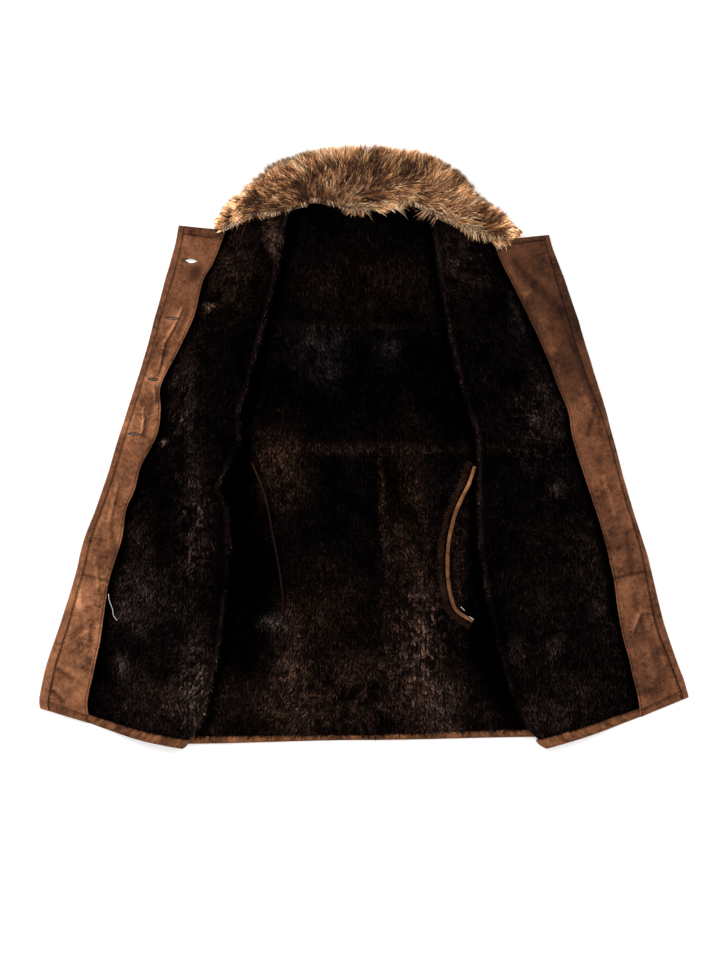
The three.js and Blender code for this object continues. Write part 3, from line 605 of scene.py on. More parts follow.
def wool_tone(x, y):
    """The sheared wool's colour: near-black brown, uneven, with painted sheen and a few browner patches,
    and painted shade along the SHADED runs. Each front's fold has a painted highlight along its rim and a
    painted shadow beside and beneath it, painted shade lies on the wool beside the facing, and the hide
    shows bare under the facing."""
    uneven = 1 + 0.6 * lumps(x, y, 40, 5) + 0.5 * lumps(x, y, 13, 6)
    colour = BLACK_WOOL * np.maximum(uneven, 0.15)[..., None]
    for cx, cy, wide, long, warm, cool in zip(*SHEEN_AND_PATCHES.values()):
        ragged = np.clip(1 + 0.9 * lumps(x, y, max(wide, 8) * 0.45, 7) + 0.6 * lumps(x, y, 7, 8), 0, 2.5)
        share = np.exp(-((x - cx) / wide) ** 2 - ((y - cy) / long) ** 2) * ragged
        colour = colour + share[..., None] * (WARM * warm + COOL * cool)
    depth = ridges(x, y, SHADED)
    for sign, front in ((-1, FRONTS["r"]), (1, FRONTS["l"])):
        from_fold = x * sign - np.interp(-y, -front["fold_y"], front["fold"])
        to_facing = np.interp(-y, -front["facing_y"], front["facing"]) - x * sign
        # Painted shadow beside and beneath each front's fold, and painted shade on the wool pressed down beside the
        # facing.
        depth = depth + (x * sign > 0) * 2.4 * np.exp(-((from_fold + 9) / 8) ** 2)
        depth = depth + (x * sign > 0) * 2.6 * np.exp(-((to_facing - 3) / 7) ** 2)
        # A painted highlight along the rim of each fold, in the warm and cool shades.
        rim = np.exp(-((from_fold - 1) / 3) ** 2) * (1 + 0.7 * lumps(x, y, 24, 9)) * (x * sign > 0)
        colour = colour + rim[..., None] * (WARM + COOL) * FOLD_HIGHLIGHT
        bare = smooth((-to_facing - 8) / 6) * (x * sign > 0)
        colour = colour * (1 - bare[..., None]) + BARE_HIDE * bare[..., None]
        depth = depth * (1 - bare)
    return colour * np.exp(-depth)[..., None]


# Where the wool stands in coarse tufts: middle, half width and half length.
COARSE = stations("x y wide long", [
    (-266, -120, 26, 90), (-268, -385, 26, 80), (-300, 40, 30, 26), (260, 30, 30, 60),
    (90, -300, 40, 90)])


def coarseness(x, y):
    """From 0 where the wool lies even to 1 where it stands in coarse tufts."""
    total = np.zeros(np.shape(x))
    for cx, cy, wide, long in zip(*COARSE.values()):
        total = np.maximum(total, np.exp(-((x - cx) / wide) ** 4 - ((y - cy) / long) ** 4))
    return total


def gathered(x, y, size, seed):
    """The way to the middle of the lock that holds each place, and a random number that is the same
    all over that lock. Locks are the cells of a lattice with middles moved about at random."""
    draws = np.random.default_rng(seed).random((89, 89, 3))
    i, j = np.floor(x / size).astype(int), np.floor(y / size).astype(int)
    lock = draws[i % 89, j % 89]
    middle = (np.stack([i, j], -1) + 0.2 + 0.6 * lock[..., :2]) * size
    return middle - np.stack([x, y], -1), lock[..., 2]


def scatter(grid, other, shown, each, seed):
    """Random places over a grid, one to so many square millimetres, where it shows. Returns each place
    on it and on the other grid, and the direction down the coat there."""
    random = np.random.default_rng(seed)
    area = cells(grid) * shown[1:, 1:]
    count = int(area.sum() / each)
    i, j = np.unravel_index(random.choice(area.size, count, p=area.ravel() / area.sum()), area.shape)
    a, b = random.random((2, count, 1))

    def at(points):
        upper = points[i, j] * (1 - b) + points[i, j + 1] * b
        lower = points[i + 1, j] * (1 - b) + points[i + 1, j + 1] * b
        return upper * (1 - a) + lower * a

    return at(grid), at(other), unit(grid[i + 1, j] - grid[i, j])


TUFT = {"long": 10.0, "half": 0.78, "every": 3.75, "lock": 7}   # every: square millimetres to a tuft


def tufts(name, hide, rise, seed, trim, shown, paler):
    """Short curved tufts of sheared wool over a panel. Each leans over down the coat as it rises, is
    drawn towards the middle of its lock, and pales from root to tip, with painted shade at its root and
    painted sheen towards its tip."""
    foot, top, down = scatter(hide, hide + rise * trim[..., None], shown, TUFT["every"], seed)
    count = len(foot)
    random = np.random.default_rng(seed + 1)
    over_seams = down * random.uniform(-5, 2, (count, 1))
    foot, top = foot + over_seams, top + over_seams
    up = unit(top - foot)
    high = np.linalg.norm(top - foot, axis=-1, keepdims=True)
    x, y = foot[:, 0], foot[:, 1]
    coarse = coarseness(x, y)[:, None]
    swirl = 0.7 * lumps(x, y, 46, 21) + 0.5 * lumps(x, y, 9, 22) + random.normal(0, 0.25, count)
    side = np.cross(up, down)
    flow = down * np.cos(swirl)[:, None] + side * np.sin(swirl)[:, None]
    to_middle, mood = gathered(x, y, TUFT["lock"], 23)
    pull = np.concatenate([to_middle, np.zeros((count, 1))], 1) * (0.3 + 0.45 * coarse)
    length = TUFT["long"] * random.uniform(0.7, 1.25, (count, 1)) * (high / FUR)
    lean = 0.75 + 0.3 * random.normal(size=(count, 1)) - 0.25 * coarse + 0.3 * (mood[:, None] - 0.5)
    root = foot + up * high * 0.35
    bend = root + length * 0.5 * (up * np.cos(lean) + flow * np.sin(lean)) + pull * 0.4
    tip_lean = lean + 0.55
    tip = bend + length * 0.5 * (up * np.cos(tip_lean) + flow * np.sin(tip_lean)) + pull * 0.6
    twist = random.uniform(-0.8, 0.8, (count, 1))
    across = unit(np.cross(up, unit(tip - root)))
    half = (across * np.cos(twist) + up * np.sin(twist)) * TUFT["half"] * random.uniform(
        0.7, 1.2, (count, 1))
    colour = wool_tone(x, y) * paler
    # Each tuft is painted from near black at the root to about three times the wool's colour at the tip: partly the
    # wool's own paler tips, partly painted shade among the roots and painted sheen on the tips, which shine spreads
    # unevenly over tufts and locks.
    shine = np.exp(0.5 * random.normal(size=(count, 1)) + (1.0 + 1.6 * coarse) * (mood[:, None] - 0.5))
    tone = np.stack([colour * 0.15, colour * 0.9 * shine, colour * 3.2 * shine], 1)
    path = np.stack([root, bend, tip], 1)
    path[..., 2] = np.maximum(path[..., 2], 1.2)
    piece = strands(name, path, half[:, None], tone, sheared)
    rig.slot(piece, "shearling")
    return piece


def shearling(name, nodes, hide, rise, seed, trim, shown, rests_on, cutters=None, paler=1.0):
    """A panel of shearling: a closed sheet from the hide up to the dense part of the wool, which is
    lumpy and trimmed by the share trim, and the tufts that stand on it."""
    x, y = hide[..., 0], hide[..., 1]
    lumpy = 0.74 + 0.08 * lumps(x, y, 9, 31) + 0.07 * lumps(x, y, 22, 32)
    over = hide + rise * (lumpy * trim)[..., None]
    points, faces, on_top = slab(over, hide)
    # The sheet under the tufts is painted far darker than the wool, and darker still at its lower points, as painted
    # shade down in the pile between the tufts.
    tone = wool_tone(points[:, 0], points[:, 1]) * 0.3 * paler
    tone[over.size // 3:] *= 0.6
    # The suede beneath is painted lighter and darker in soft lumps, as the light and shade of creases.
    creased = 1 + 0.12 * lumps(points[:, 0], points[:, 1], 40, 33)
    which = np.zeros(len(faces))
    which[-on_top:] = 1
    piece = piece_of(name, points, faces, [sheared, outside_suede], tone, creased[:, None], which)
    if cutters is not None:
        pierce(piece, cutters)
    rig.replaces(piece, *nodes)
    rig.slot(piece, "shearling")
    pile = tufts(name + "_wool", hide, rise, seed, trim, shown, paler)
    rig.sheet(piece, held="laid", rests_on=rests_on, with_pieces=[pile], **cut_of(hide))


def parted(hide, *edges, deep=0.2, wide=4):
    """How much of its height the wool keeps: it parts over each of the sewn edges named."""
    down, over = lengths(hide, 0), lengths(hide, 1)
    away = {"top": down, "bottom": down[-1:] - down, "left": over, "right": over[:, -1:] - over}
    kept = np.ones(hide.shape[:2])
    for edge in edges:
        kept *= 1 - deep * np.exp(-((away[edge] / wide) ** 2))
    return kept


SHORT = 0.02             # how far a panel stops short of the middle of its seam


def rows_between(first, last, apart=6.5):
    """Fractional rows from one station to another, that far apart, that stop just short of both."""
    y = BACK["y"]
    start = first + SHORT / (y[first] - y[first + 1])
    end = last - SHORT / (y[last - 1] - y[last])
    return np.linspace(start, end, max(3, int((y[first] - y[last]) / apart)))[:, None]


STRAIGHT_UP = np.array([0.0, 0.0, FUR])
CENTRE_GAP = 0.0001      # half a seam's gap, as a share of the back's half width
BACK_COLUMNS = 64


def between_folds(hide):
    """1 where the back shows between the two fronts' folds, and 0 where they cover it."""
    x, y = hide[..., 0], hide[..., 1]
    front = {side: np.interp(-y, -FRONTS[side]["fold_y"], FRONTS[side]["fold"]) for side in "rl"}
    return ((x > -front["r"] - 8) & (x < front["l"] + 8)).astype(float)


for name, first, last, seed in (("back_yoke", "neck", "yoke", 41), ("back_body", "yoke", "waist", 42)):
    t = rows_between(ROW[first], ROW[last])
    hide = back_place(t, np.linspace(-1, 1, BACK_COLUMNS + 1)[None])
    shearling(name + "_panel", [name], hide, np.broadcast_to(STRAIGHT_UP, hide.shape), seed,
              parted(hide, "top", "bottom"), between_folds(hide), ["sleeve_r", "sleeve_l"])


def skirt_across(t, sign, columns):
    """Places across a half of the skirt, from the centre seam in the coat's left half to its side."""
    left = along(FRONTS["l"], t)
    seam = along(BACK, t)["seam"] / (left["fold"] + left["tuck"]) + sign * CENTRE_GAP
    return seam + (sign - seam) * np.linspace(0, 1, columns)[None]


for side, sign in (("r", -1), ("l", 1)):
    t = rows_between(ROW["waist"], ROW["hem_top"])
    hide = back_place(t, skirt_across(t, sign, BACK_COLUMNS // 2 + 1 - 4 * sign))
    shearling(f"back_skirt_{side}_panel", [f"back_skirt_{side}"], hide,
              np.broadcast_to(STRAIGHT_UP, hide.shape), 45 + sign,
              parted(hide, "top") * parted(hide, "left", deep=0.5), between_folds(hide),
              [f"sleeve_{side}"], paler=1.1)

# ---- Buttonholes ---------------------------------------------------------------------------------
# Four holes through the right front and its facing, sewn round with dark thread. The top one stands
# open and shows the table; the others lie nearly closed. These are the shapes that cut them.

BUTTONHOLES = stations("y from_edge long open", [
    (298, 33, 20, 6.6), (206, 29, 20, 1.6), (108, 26, 14, 1.6), (20, 24, 18, 1.6)])
HOLE_TILT = -0.08        # they run a little down towards the edge, in radians


def edge_row(side, y):
    """The fractional row at which a front's edge passes a height up the coat."""
    edge_y = FRONTS[side]["edge_y"]
    return np.interp(-np.asarray(y, float), -edge_y, np.arange(len(edge_y)))


def hole_outline(long, wide, steps):
    """A lens of that length and width: two arcs that meet in points, as places round its middle."""
    s = np.linspace(-1, 1, steps)[:-1]
    lower = np.stack([s * long / 2, (s * s - 1) * wide / 2], -1)
    return np.concatenate([lower, -lower])


def turned(points, angle):
    """Places turned about the origin, anticlockwise."""
    c, s = np.cos(angle), np.sin(angle)
    return points @ np.array([[c, s], [-s, c]])


HOLE_X = -(along(FRONTS["r"], edge_row("r", BUTTONHOLES["y"]))["edge"] - BUTTONHOLES["from_edge"])


def hole_cutters():
    """One mesh of upright bars, one through each buttonhole."""
    points, faces = [], []
    for x, y, long, wide in zip(HOLE_X, *(BUTTONHOLES[k] for k in ("y", "long", "open"))):
        ring = turned(hole_outline(long, wide, 9), HOLE_TILT) + (x, y)
        n = len(ring)
        base = sum(len(p) for p in points)
        points.append(np.concatenate([np.c_[ring, np.full(n, z)] for z in (-3.0, 14.0)]))
        round_it = np.arange(n)
        onward = np.roll(round_it, -1)
        faces += (base + np.c_[round_it, onward, onward + n, round_it + n]).tolist()
        faces += [(base + round_it[::-1]).tolist(), (base + n + round_it).tolist()]
    mesh = bpy.data.meshes.new("hole_cutters")
    mesh.from_pydata((np.concatenate(points) * MM).tolist(), [], faces)
    return bpy.data.objects.new("hole_cutters", mesh)


def pierce(piece, cutters):
    """Cuts the holes through a piece and keeps the result as its plain mesh."""
    scene.collection.objects.link(cutters)
    cut = piece.modifiers.new("holes", "BOOLEAN")
    cut.operation, cut.solver, cut.object = "DIFFERENCE", "EXACT", cutters
    evaluated = piece.evaluated_get(bpy.context.evaluated_depsgraph_get())
    pierced = bpy.data.meshes.new_from_object(evaluated)
    piece.modifiers.clear()
    piece.data = pierced
    scene.collection.objects.unlink(cutters)


cutters = hole_cutters()
dark_thread = suede("dark_thread", linear(36, 18, 10), linear(58, 31, 18), 300, 0.0)
dark_thread.node_tree.nodes["Principled BSDF"].inputs["Specular IOR Level"].default_value = 0.0
pale_thread = suede("pale_thread", linear(186, 180, 166), linear(230, 226, 214), 300, 0.0)


def stitches(name, middles, ways, long, thick, look):
    """Separate stitches joined in one mesh. Each is a slim spindle of that length along its own way:
    a ring of six points round its middle and one at each end."""
    ways = unit(ways)
    across = unit(np.cross(ways, [0.0, 0.0, 1.0]))
    upward = np.cross(across, ways)
    turn = np.linspace(0, 2 * np.pi, 7)[:-1][:, None]
    ring = (across[:, None] * np.cos(turn) + upward[:, None] * np.sin(turn)) * thick / 2
    ends = np.stack([-ways, ways], 1) * long / 2
    points = middles[:, None] + np.concatenate([ring, ends], 1)
    i = np.arange(6)
    onward = np.roll(i, -1)
    spindle = np.concatenate([np.c_[i, onward, np.full(6, 6)], np.c_[onward, i, np.full(6, 7)]])
    faces = (np.arange(len(middles))[:, None, None] * 8 + spindle).reshape(-1, 3)
    piece = piece_of(name, points.reshape(-1, 3), faces, [look])
    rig.slot(piece, "suede")
    return piece


def spaced(line, apart):
    """Places that far apart along a line of points, and the line's way at each."""
    gone = np.concatenate([[0], np.cumsum(np.linalg.norm(np.diff(line, axis=0), axis=-1))])
    at = np.arange(apart / 2, gone[-1], apart)
    places = np.stack([np.interp(at, gone, line[:, k]) for k in range(3)], -1)
    ahead = np.stack([np.interp(at + 0.4, gone, line[:, k]) for k in range(3)], -1)
    behind = np.stack([np.interp(at - 0.4, gone, line[:, k]) for k in range(3)], -1)
    return places, ahead - behind

# ---- Fronts --------------------------------------------------------------------------------------
# Each front is turned back on itself at its fold, suede to suede, so its wool faces down under the
# fold, round it and up on top. It is a yoke, a body and a skirt, shorn to the hide at the facing.

TRIMMED = 2.6            # shorn shearling under a facing
FOLD_RADIUS = 1.75       # of the hide inside the fold
BESIDE_FACING = 14       # wool pressed down along a facing's inner edge
SIDES = {"r": -1, "l": 1}

# Soft hollows and ridges pressed into the fronts' wool, hollows with a height below nothing.
FRONT_FOLDS = stations("x0 y0 x1 y1 wide high", [
    (242, 300, 300, 220, 9, -2.5), (300, 220, 330, 150, 9, -2), (225, 250, 280, 190, 12, 2),
    (-250, 60, -300, 20, 14, 1.6), (-262, -60, -270, -190, 16, 2.2), (-268, -300, -276, -440, 16, 2.2),
    (300, -40, 340, -150, 20, 1.8), (260, -200, 300, -330, 18, 1.6), (230, 100, 262, 10, 14, 1.6),
    (-190, 280, -215, 200, 13, 1.4), (-330, -100, -352, -220, 18, 1.4)])


def front_row(side, t):
    """A front's station, with the small unevenness of its fold and of its facing's inner edge."""
    front = along(FRONTS[side], t)
    down = front["edge_y"]
    front["fold"] = front["fold"] + 1.6 * lumps(down, 0 * down, 27, 51) + 0.8 * lumps(down, 0 * down, 9, 52)
    front["facing"] = front["facing"] + 1.0 * lumps(down, 0 * down, 33, 53)
    return front


def front_xyz(side, front, out, z):
    """A place on a front: out from its fold along the station's line, which bends at the facing."""
    facing = front["facing"] - front["fold"]
    inner = (front["facing_y"] - front["fold_y"]) / facing
    outer = (front["edge_y"] - front["facing_y"]) / (front["edge"] - front["facing"])
    belly = front["hang"] * np.sin(np.pi * np.clip(out / facing, 0, 1))
    y = front["fold_y"] + inner * np.minimum(out, facing) + outer * np.maximum(0, out - facing) - belly
    x = SIDES[side] * (front["fold"] + out)
    return np.stack(np.broadcast_arrays(x, y + neck_waves(x, y), z), -1)


def low_of(side, t):
    """How high the buttons hold the front's edge off the table."""
    return np.maximum(along(BACK, t)["buttons"], 0) * (side == "l")


def front_grid(side, t, s, thick):
    """A front's hide, and the wool's rise from it. s runs from 0 at the side seam to 1 at the fold,
    2 on top of it, 3 at the facing's edge and 4 at the bound edge's seam."""
    front, row = front_row(side, t), along(BACK, t)
    centre = FOLD_RADIUS + thick
    facing = front["facing"] - front["fold"]
    groove = front["edge"] - front["band"] - SEAM - front["fold"]
    tucked = row["lift"] + FUR + REST + row["pocket"] + thick
    high, low = tucked + 2 * FOLD_RADIUS, low_of(side, t)
    fall_from, fall_to = front["tuck"] + 4, facing - BESIDE_FACING
    turn = np.pi * np.select([s < 1, s < 2], [-0.5 + 0 * s, 1.5 - (s - 1)], 0.5)
    on_top = centre + (facing - centre) * np.clip(s - 2, 0, 1)
    out = np.select(
        [s < 1, s < 2, s < 3],
        [front["tuck"] + (centre - front["tuck"]) * s, centre + FOLD_RADIUS * np.cos(turn), on_top],
        facing + (groove - facing) * (s - 3))
    fallen = high + (low - high) * smooth((out - fall_from) / (fall_to - fall_from))
    z = np.select([s < 1, s < 2], [tucked + 0 * s, tucked + FOLD_RADIUS * (1 + np.sin(turn))], fallen)
    pressed = smooth((out - fall_to) / BESIDE_FACING)
    wool_high = np.where(s < 2, thick, thick + (min(thick, TRIMMED) - thick) * pressed)
    hide = front_xyz(side, front, out, z)
    tip = front_xyz(side, front, out + wool_high * np.cos(turn), z + wool_high * np.sin(turn))
    rise = tip - hide
    on_show = np.clip(s - 2, 0, 1) * np.clip(3 - s, 0, 1) * 4
    pushed = ridges(hide[..., 0], hide[..., 1], FRONT_FOLDS) * np.clip(on_show, 0, 1)
    hide[..., 2] += np.maximum(pushed, 0)
    rise[..., 2] += np.minimum(pushed, 0) * (wool_high > 5)
    return hide, rise


ACROSS_FRONT = np.concatenate([np.linspace(0, 1, 5)[:-1], np.linspace(1, 2, 9)[:-1],
                               np.linspace(2, 3, 30)[:-1], np.linspace(3, 4, 5)])[None]

for side, sign in SIDES.items():
    for number, (part, first, last, sewn) in enumerate((
            ("yoke", "neck", "yoke", ("top", "bottom")), ("body", "yoke", "waist", ("top", "bottom")),
            ("skirt", "waist", "hem_top", ("top",)))):
        hide, rise = front_grid(side, rows_between(ROW[first], ROW[last]), ACROSS_FRONT, FUR)
        shown = ((ACROSS_FRONT > 0.6) & (ACROSS_FRONT < 3.01)) * np.ones(hide.shape[:2])
        under = f"back_skirt_{side}_panel" if part == "skirt" else f"back_{part}_panel"
        trim = parted(hide, *sewn)
        if part == "skirt":
            trim = trim * parted(hide, "bottom", deep=0.6, wide=9)
        shearling(f"front_{part}_{side}_panel", [f"front_{part}_{side}"], hide, rise,
                  61 + 3 * number + sign, trim, shown, [under], cutters if side == "r" else None)

# ---- Facings -------------------------------------------------------------------------------------
# Suede strips inside the front edges, each of two lengths with a seam across. Their inner edges are
# rolled and topstitched, and their ends are turned in and stitched down. They crease and ripple.

facing_suede = suede("facing_suede", linear(66, 39, 24), linear(156, 103, 72), 16)

# Creases in the facings, ridges above nothing and hollows below.
FACING_CREASES = stations("x0 y0 x1 y1 wide high", [
    (-292, 221, -305, 192, 2.4, 1.2), (-305, 192, -320, 166, 2.4, 1.3), (-320, 166, -326, 136, 2.2, 1.3),
    (-326, 136, -330, 120, 2.2, 1.0), (-331, 200, -335, 166, 2.6, 1.0), (-335, 166, -345, 139, 2.6, 1.0),
    (-354, 60, -353, 41, 2.0, 1.1), (-353, 41, -356, 22, 2.0, 1.0), (-337, 98, -335, 75, 2.2, 0.9),
    (-335, 75, -330, 63, 2.2, 0.8), (-313, 247, -322, 223, 3, 0.8), (-262, 282, -272, 268, 8, -1.6),
    (-281, 215, -296, 178, 5, -1.0), (-318, 150, -331, 112, 5, -1.0), (-341, 64, -350, 16, 5, -1.0),
    (244, 296, 275, 257, 5, -1.5), (275, 257, 319, 214, 7, -2.2), (319, 214, 342, 151, 7, -2.0),
    (342, 151, 358, 112, 6, -1.8), (358, 112, 373, 73, 6, -1.6), (373, 73, 384, 20, 5, -1.1),
    (236, 280, 264, 241, 7, 1.4), (264, 241, 291, 194, 8, 1.4), (291, 194, 303, 151, 8, 1.1),
    (303, 151, 319, 104, 7, 1.0), (445, -265, 432, -295, 4, 1.5), (436, -240, 452, -300, 5, -1.4),
    (-460, -225, -452, -258, 7, 1.0), (-436, -290, -440, -350, 5, -1.3), (-395, -60, -408, -120, 3.5, 1.0),
    (-404, -130, -394, -180, 4, -1.1), (386, -50, 404, -110, 4, 1.1), (424, -140, 432, -200, 5, -1.2),
    (372, 60, 362, 20, 5, -1.2), (455, -320, 470, -370, 5, 1.2), (-467, -306, -450, -292, 7, -1.3),
    (-430, -180, -426, -225, 3, 1.0), (-446, -300, -438, -335, 6, 1.2),
    (-490, -359, -467, -377, 3, -1.4), (-412, -40, -402, -90, 3, 0.8),
    (350, 90, 372, 40, 4, 1.0), (-488, -352, -466, -368, 3, 1.0), (-499, -394, -481, -412, 3, -1.4),
    (-496, -388, -480, -402, 3, 0.9), (468, -300, 484, -350, 3, 1.0)])

# How light each facing is down its length: heights up the coat, then shades.
FACING_SHADES = {
    "r": ((-430, -340, -220, -90, 20, 100, 200, 270, 340),
          (0.9, 1.08, 1.0, 0.64, 0.88, 1.0, 0.76, 0.62, 0.62)),
    "l": ((-430, -340, -220, -100, 0, 50, 120, 200, 330),
          (0.76, 0.6, 0.56, 0.52, 0.56, 0.52, 0.28, 0.24, 0.37))}
STITCH_IN = 2.8          # the topstitching's distance from the inner edge
TURNED_IN = {"r": (14, 11), "l": (9, 10)}    # how deep the stitched ends are, at the neck and the hem
CREASE_SHADE = 0.75      # how much painted light and shade the slopes of a crease get
FACING_GAP = 0.05        # between a facing and the bound edge that it meets
FACING_ROWS = 3.2        # between the rows of a facing


def facing_width(front):
    """From the facing's inner edge to the bound edge that it meets."""
    return front["edge"] - front["band"] - front["facing"] - FACING_GAP


def end_lines(side, y, first_y, last_y, across):
    """How near a place is, from 0 to 1, to the stitched lines at the facing's ends: a line across at
    the depth of each turned-in end, and a mitre from there to each corner. Also 1 past that line."""
    near, turned_in = np.zeros(y.shape), np.zeros(y.shape)
    for depth, from_end in zip(TURNED_IN[side], (first_y - y, y - last_y)):
        line = 1.2 * np.exp(-((from_end - depth) / 1.1) ** 2)
        # Each line across darkens the suede as painted shade in its dent; just inside it, on the raised turned-in end,
        # it goes below 0 for a painted highlight.
        line = line - 0.6 * np.exp(-((depth - from_end - 2.6) / 1.1) ** 2)
        turned_in = np.maximum(turned_in, smooth((depth - from_end) / 1.5))
        for share in (across, 1 - across):
            mitre = np.exp(-((from_end - share * 70 + 1) / 1.6) ** 2) * (from_end < depth)
            line = np.maximum(line, mitre)
        near = np.where(np.abs(line) > np.abs(near), line, near)
    return near, turned_in


def facing_top(side, t, in_from):
    """The facing's upper surface at a distance in from its inner edge: rounded at both edges, dented
    along its stitching, creased and rippled. Also the light and shade painted on it there: a painted
    highlight on the rolled rim, painted shade in the stitching and the groove, and crease slopes painted
    lit on one side and shaded on the other."""
    front = front_row(side, t)
    first = front["facing"] - front["fold"]
    last = first + facing_width(front)
    out = first + in_from
    far = last - out
    ends = along(FRONTS[side], np.array([[0.0], [18.0]]))
    base = front_xyz(side, front, out, low_of(side, t) + TRIMMED + SEAM + SUEDE)
    x, y = base[..., 0], base[..., 1]
    across = in_from / (last - first)
    neck_y = ends["facing_y"][0] + (ends["edge_y"][0] - ends["facing_y"][0]) * across
    hem_y = ends["facing_y"][1] + (ends["edge_y"][1] - ends["facing_y"][1]) * across
    lines, turned_in = end_lines(side, y, neck_y, hem_y, across)
    round_off = 1.5 * np.exp(-((in_from / 1.0) ** 2)) + 1.7 * np.exp(-((far / 1.3) ** 2))
    dent = 0.5 * np.exp(-(((in_from - STITCH_IN) / 0.8) ** 2)) + 0.6 * lines
    away = smooth(in_from / 6) * smooth(far / 5)
    in_relief = ridges(x, y, FACING_CREASES)
    creased = in_relief * away
    lit = (ridges(x + 1, y - 1, FACING_CREASES) - ridges(x - 1, y + 1, FACING_CREASES)) * away
    rippled = (0.6 * lumps(x, y, 14, 71) + 0.9 * lumps(x, y, 38, 72)) * away
    base[..., 2] += np.clip(1.5 * creased + rippled, -1.7, 4.5) + 0.5 * turned_in - round_off - dent
    # Painted light and shade: a painted highlight on the rolled inner rim and just before the groove, painted shade in
    # the stitching's dent, in the groove and in the stitched lines at the ends, crease slopes painted as if lit from
    # the upper left, hollows painted darker and ridges lighter. The turned-in ends are a little darker, the lumps are
    # the suede's uneven tone, and FACING_SHADES sets how light it is down its length.
    shade = 1 + 0.45 * np.exp(-((in_from / 1.3) ** 2))
    shade -= 0.5 * np.exp(-(((in_from - STITCH_IN) / 0.7) ** 2))
    groove_dark = 0.45 + 0.35 * smooth((-y - 220) / 60)
    shade *= 1 - groove_dark * np.exp(-((far / 2.1) ** 2)) + 0.2 * np.exp(-(((far - 5) / 2.0) ** 2))
    shade *= 1 - 0.62 * lines + CREASE_SHADE * np.clip(lit, -1.1, 1.1)
    shade *= np.exp(0.36 * np.clip(in_relief, -2.6, 1.6))
    shade *= 1 - 0.2 * turned_in
    lower = 1 + 0.7 * smooth((-y - 190) / 80)
    shade *= 1 + (0.24 * lumps(x, y, 34, 73) + 0.15 * lumps(x, y, 13, 74)) * lower
    shade *= np.interp(y, *FACING_SHADES[side])
    if side == "r":
        # A painted highlight in a ring round each buttonhole, as the light on a raised welt.
        for hole_x, hole_y in zip(HOLE_X, BUTTONHOLES["y"]):
            away_from = np.hypot((x - hole_x) / 1.6, y - hole_y)
            shade *= 1 + 0.3 * np.exp(-((away_from - 6) / 2.5) ** 2)
        sewn_end = np.hypot((x - HOLE_X[0] + 12.5) / 3.4, (y - BUTTONHOLES["y"][0] - 1) / 3.0)
        shade *= 1 - 0.75 * np.exp(-(sewn_end ** 2))
        # A hollow below the top buttonhole: sunk, and painted with the shade in it.
        hollow = np.hypot((x - HOLE_X[0] - 4) / 1.5, y - BUTTONHOLES["y"][0] + 16)
        base[..., 2] -= 1.0 * np.exp(-((hollow / 7) ** 2))
        shade *= 1 - 0.4 * np.exp(-((hollow / 6.5) ** 2))
    return base, shade


def redder(shade):
    """A suede's shade as an amount of each colour: the darker it is, the redder."""
    shade = np.maximum(shade, 0.02)
    return np.stack([shade, shade ** 1.12, shade ** 1.2], -1)


def facing(side, first, last, name, node_name):
    """A length of facing: a closed sheet between its upper surface and one just over the wool. Its
    rows lie closer at the end of the coat, where it is turned in and stitched."""
    t = rows_between(ROW[first], ROW[last], FACING_ROWS)
    at_neck = first == "neck"
    closer = t[0] + np.linspace(0, 0.55, 24) if at_neck else t[-1] + np.linspace(-0.95, 0, 24)
    t = np.unique(np.concatenate([t[:, 0], closer]))[:, None]
    front = front_row(side, t)
    wide = facing_width(front)
    rim = np.array([0, 0.7, 1.4, 2.1, 2.8, 3.5, 4.4, 5.6])
    middle = 6.6 + (wide - 10.5) * np.linspace(0, 1, 22)[None]
    groove = wide - np.array([2.8, 1.9, 1.2, 0.5, 0.0])[None]
    in_from = np.concatenate([np.broadcast_to(rim, (len(t), len(rim))), middle, groove], 1)
    over, shade = facing_top(side, t, in_from)
    # The row at the seam across is sunk a little and painted darker, as the shade in the seam.
    cross_seam = -1 if at_neck else 0
    over[cross_seam, :, 2] -= 0.8
    shade[cross_seam] *= 0.6
    under = over.copy()
    under[..., 2] = low_of(side, t) + TRIMMED + SEAM
    points, faces, _ = slab(over, under)
    shade_and_tone = redder(np.concatenate([shade.ravel(), shade.ravel()]))
    piece = piece_of(name, points, faces, [facing_suede], shade_and_tone=shade_and_tone)
    if side == "r" and at_neck:
        pierce(piece, cutters)
    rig.replaces(piece, node_name)
    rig.slot(piece, "suede")
    return piece, over


def facing_lines(side):
    """The lines that are stitched: down the inner edge, down beside the groove, and across each end."""
    t = np.linspace(0.03, 17.97, 900)[:, None]
    inner, _ = facing_top(side, t, np.full((len(t), 1), STITCH_IN))
    wide = facing_width(front_row(side, t))
    yield "inner", inner[:, 0] + [0, 0, 0.35]
    outer, _ = facing_top(side, t, wide - 2.4)
    outer = outer[:, 0]
    yield "outer", outer[outer[:, 1] < (30 if side == "r" else -60)] + [0, 0, 0.25]
    at_neck, at_hem = TURNED_IN[side]
    for end, depth, row, into in (("neck", at_neck, ROW["neck"], 1), ("hem", at_hem, ROW["hem"], -1)):
        per_row = abs(FRONTS[side]["edge_y"][row] - FRONTS[side]["edge_y"][row + into])
        at = np.full((60, 1), row + into * depth / per_row)
        wide = facing_width(front_row(side, at))
        line, _ = facing_top(side, at, wide * np.linspace(0.1, 0.93, 60)[:, None])
        yield end, line[:, 0] + [0, 0, 0.35]


for side in SIDES:
    for part, first, last in (("upper", "neck", "facing_seam"), ("lower", "facing_seam", "hem")):
        name = f"facing_{part}_{side}"
        piece, over = facing(side, first, last, name + "_strip", name)
        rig.sheet(piece, held="laid", rests_on=[f"front_body_{side}_panel", f"front_skirt_{side}_panel"],
                 **cut_of(over))
    for line_name, line in facing_lines(side):
        places, ways = spaced(line, 4.8)
        stitches(f"topstitch_{line_name}_{side}", places, ways, 3.2, 1.1, dark_thread)

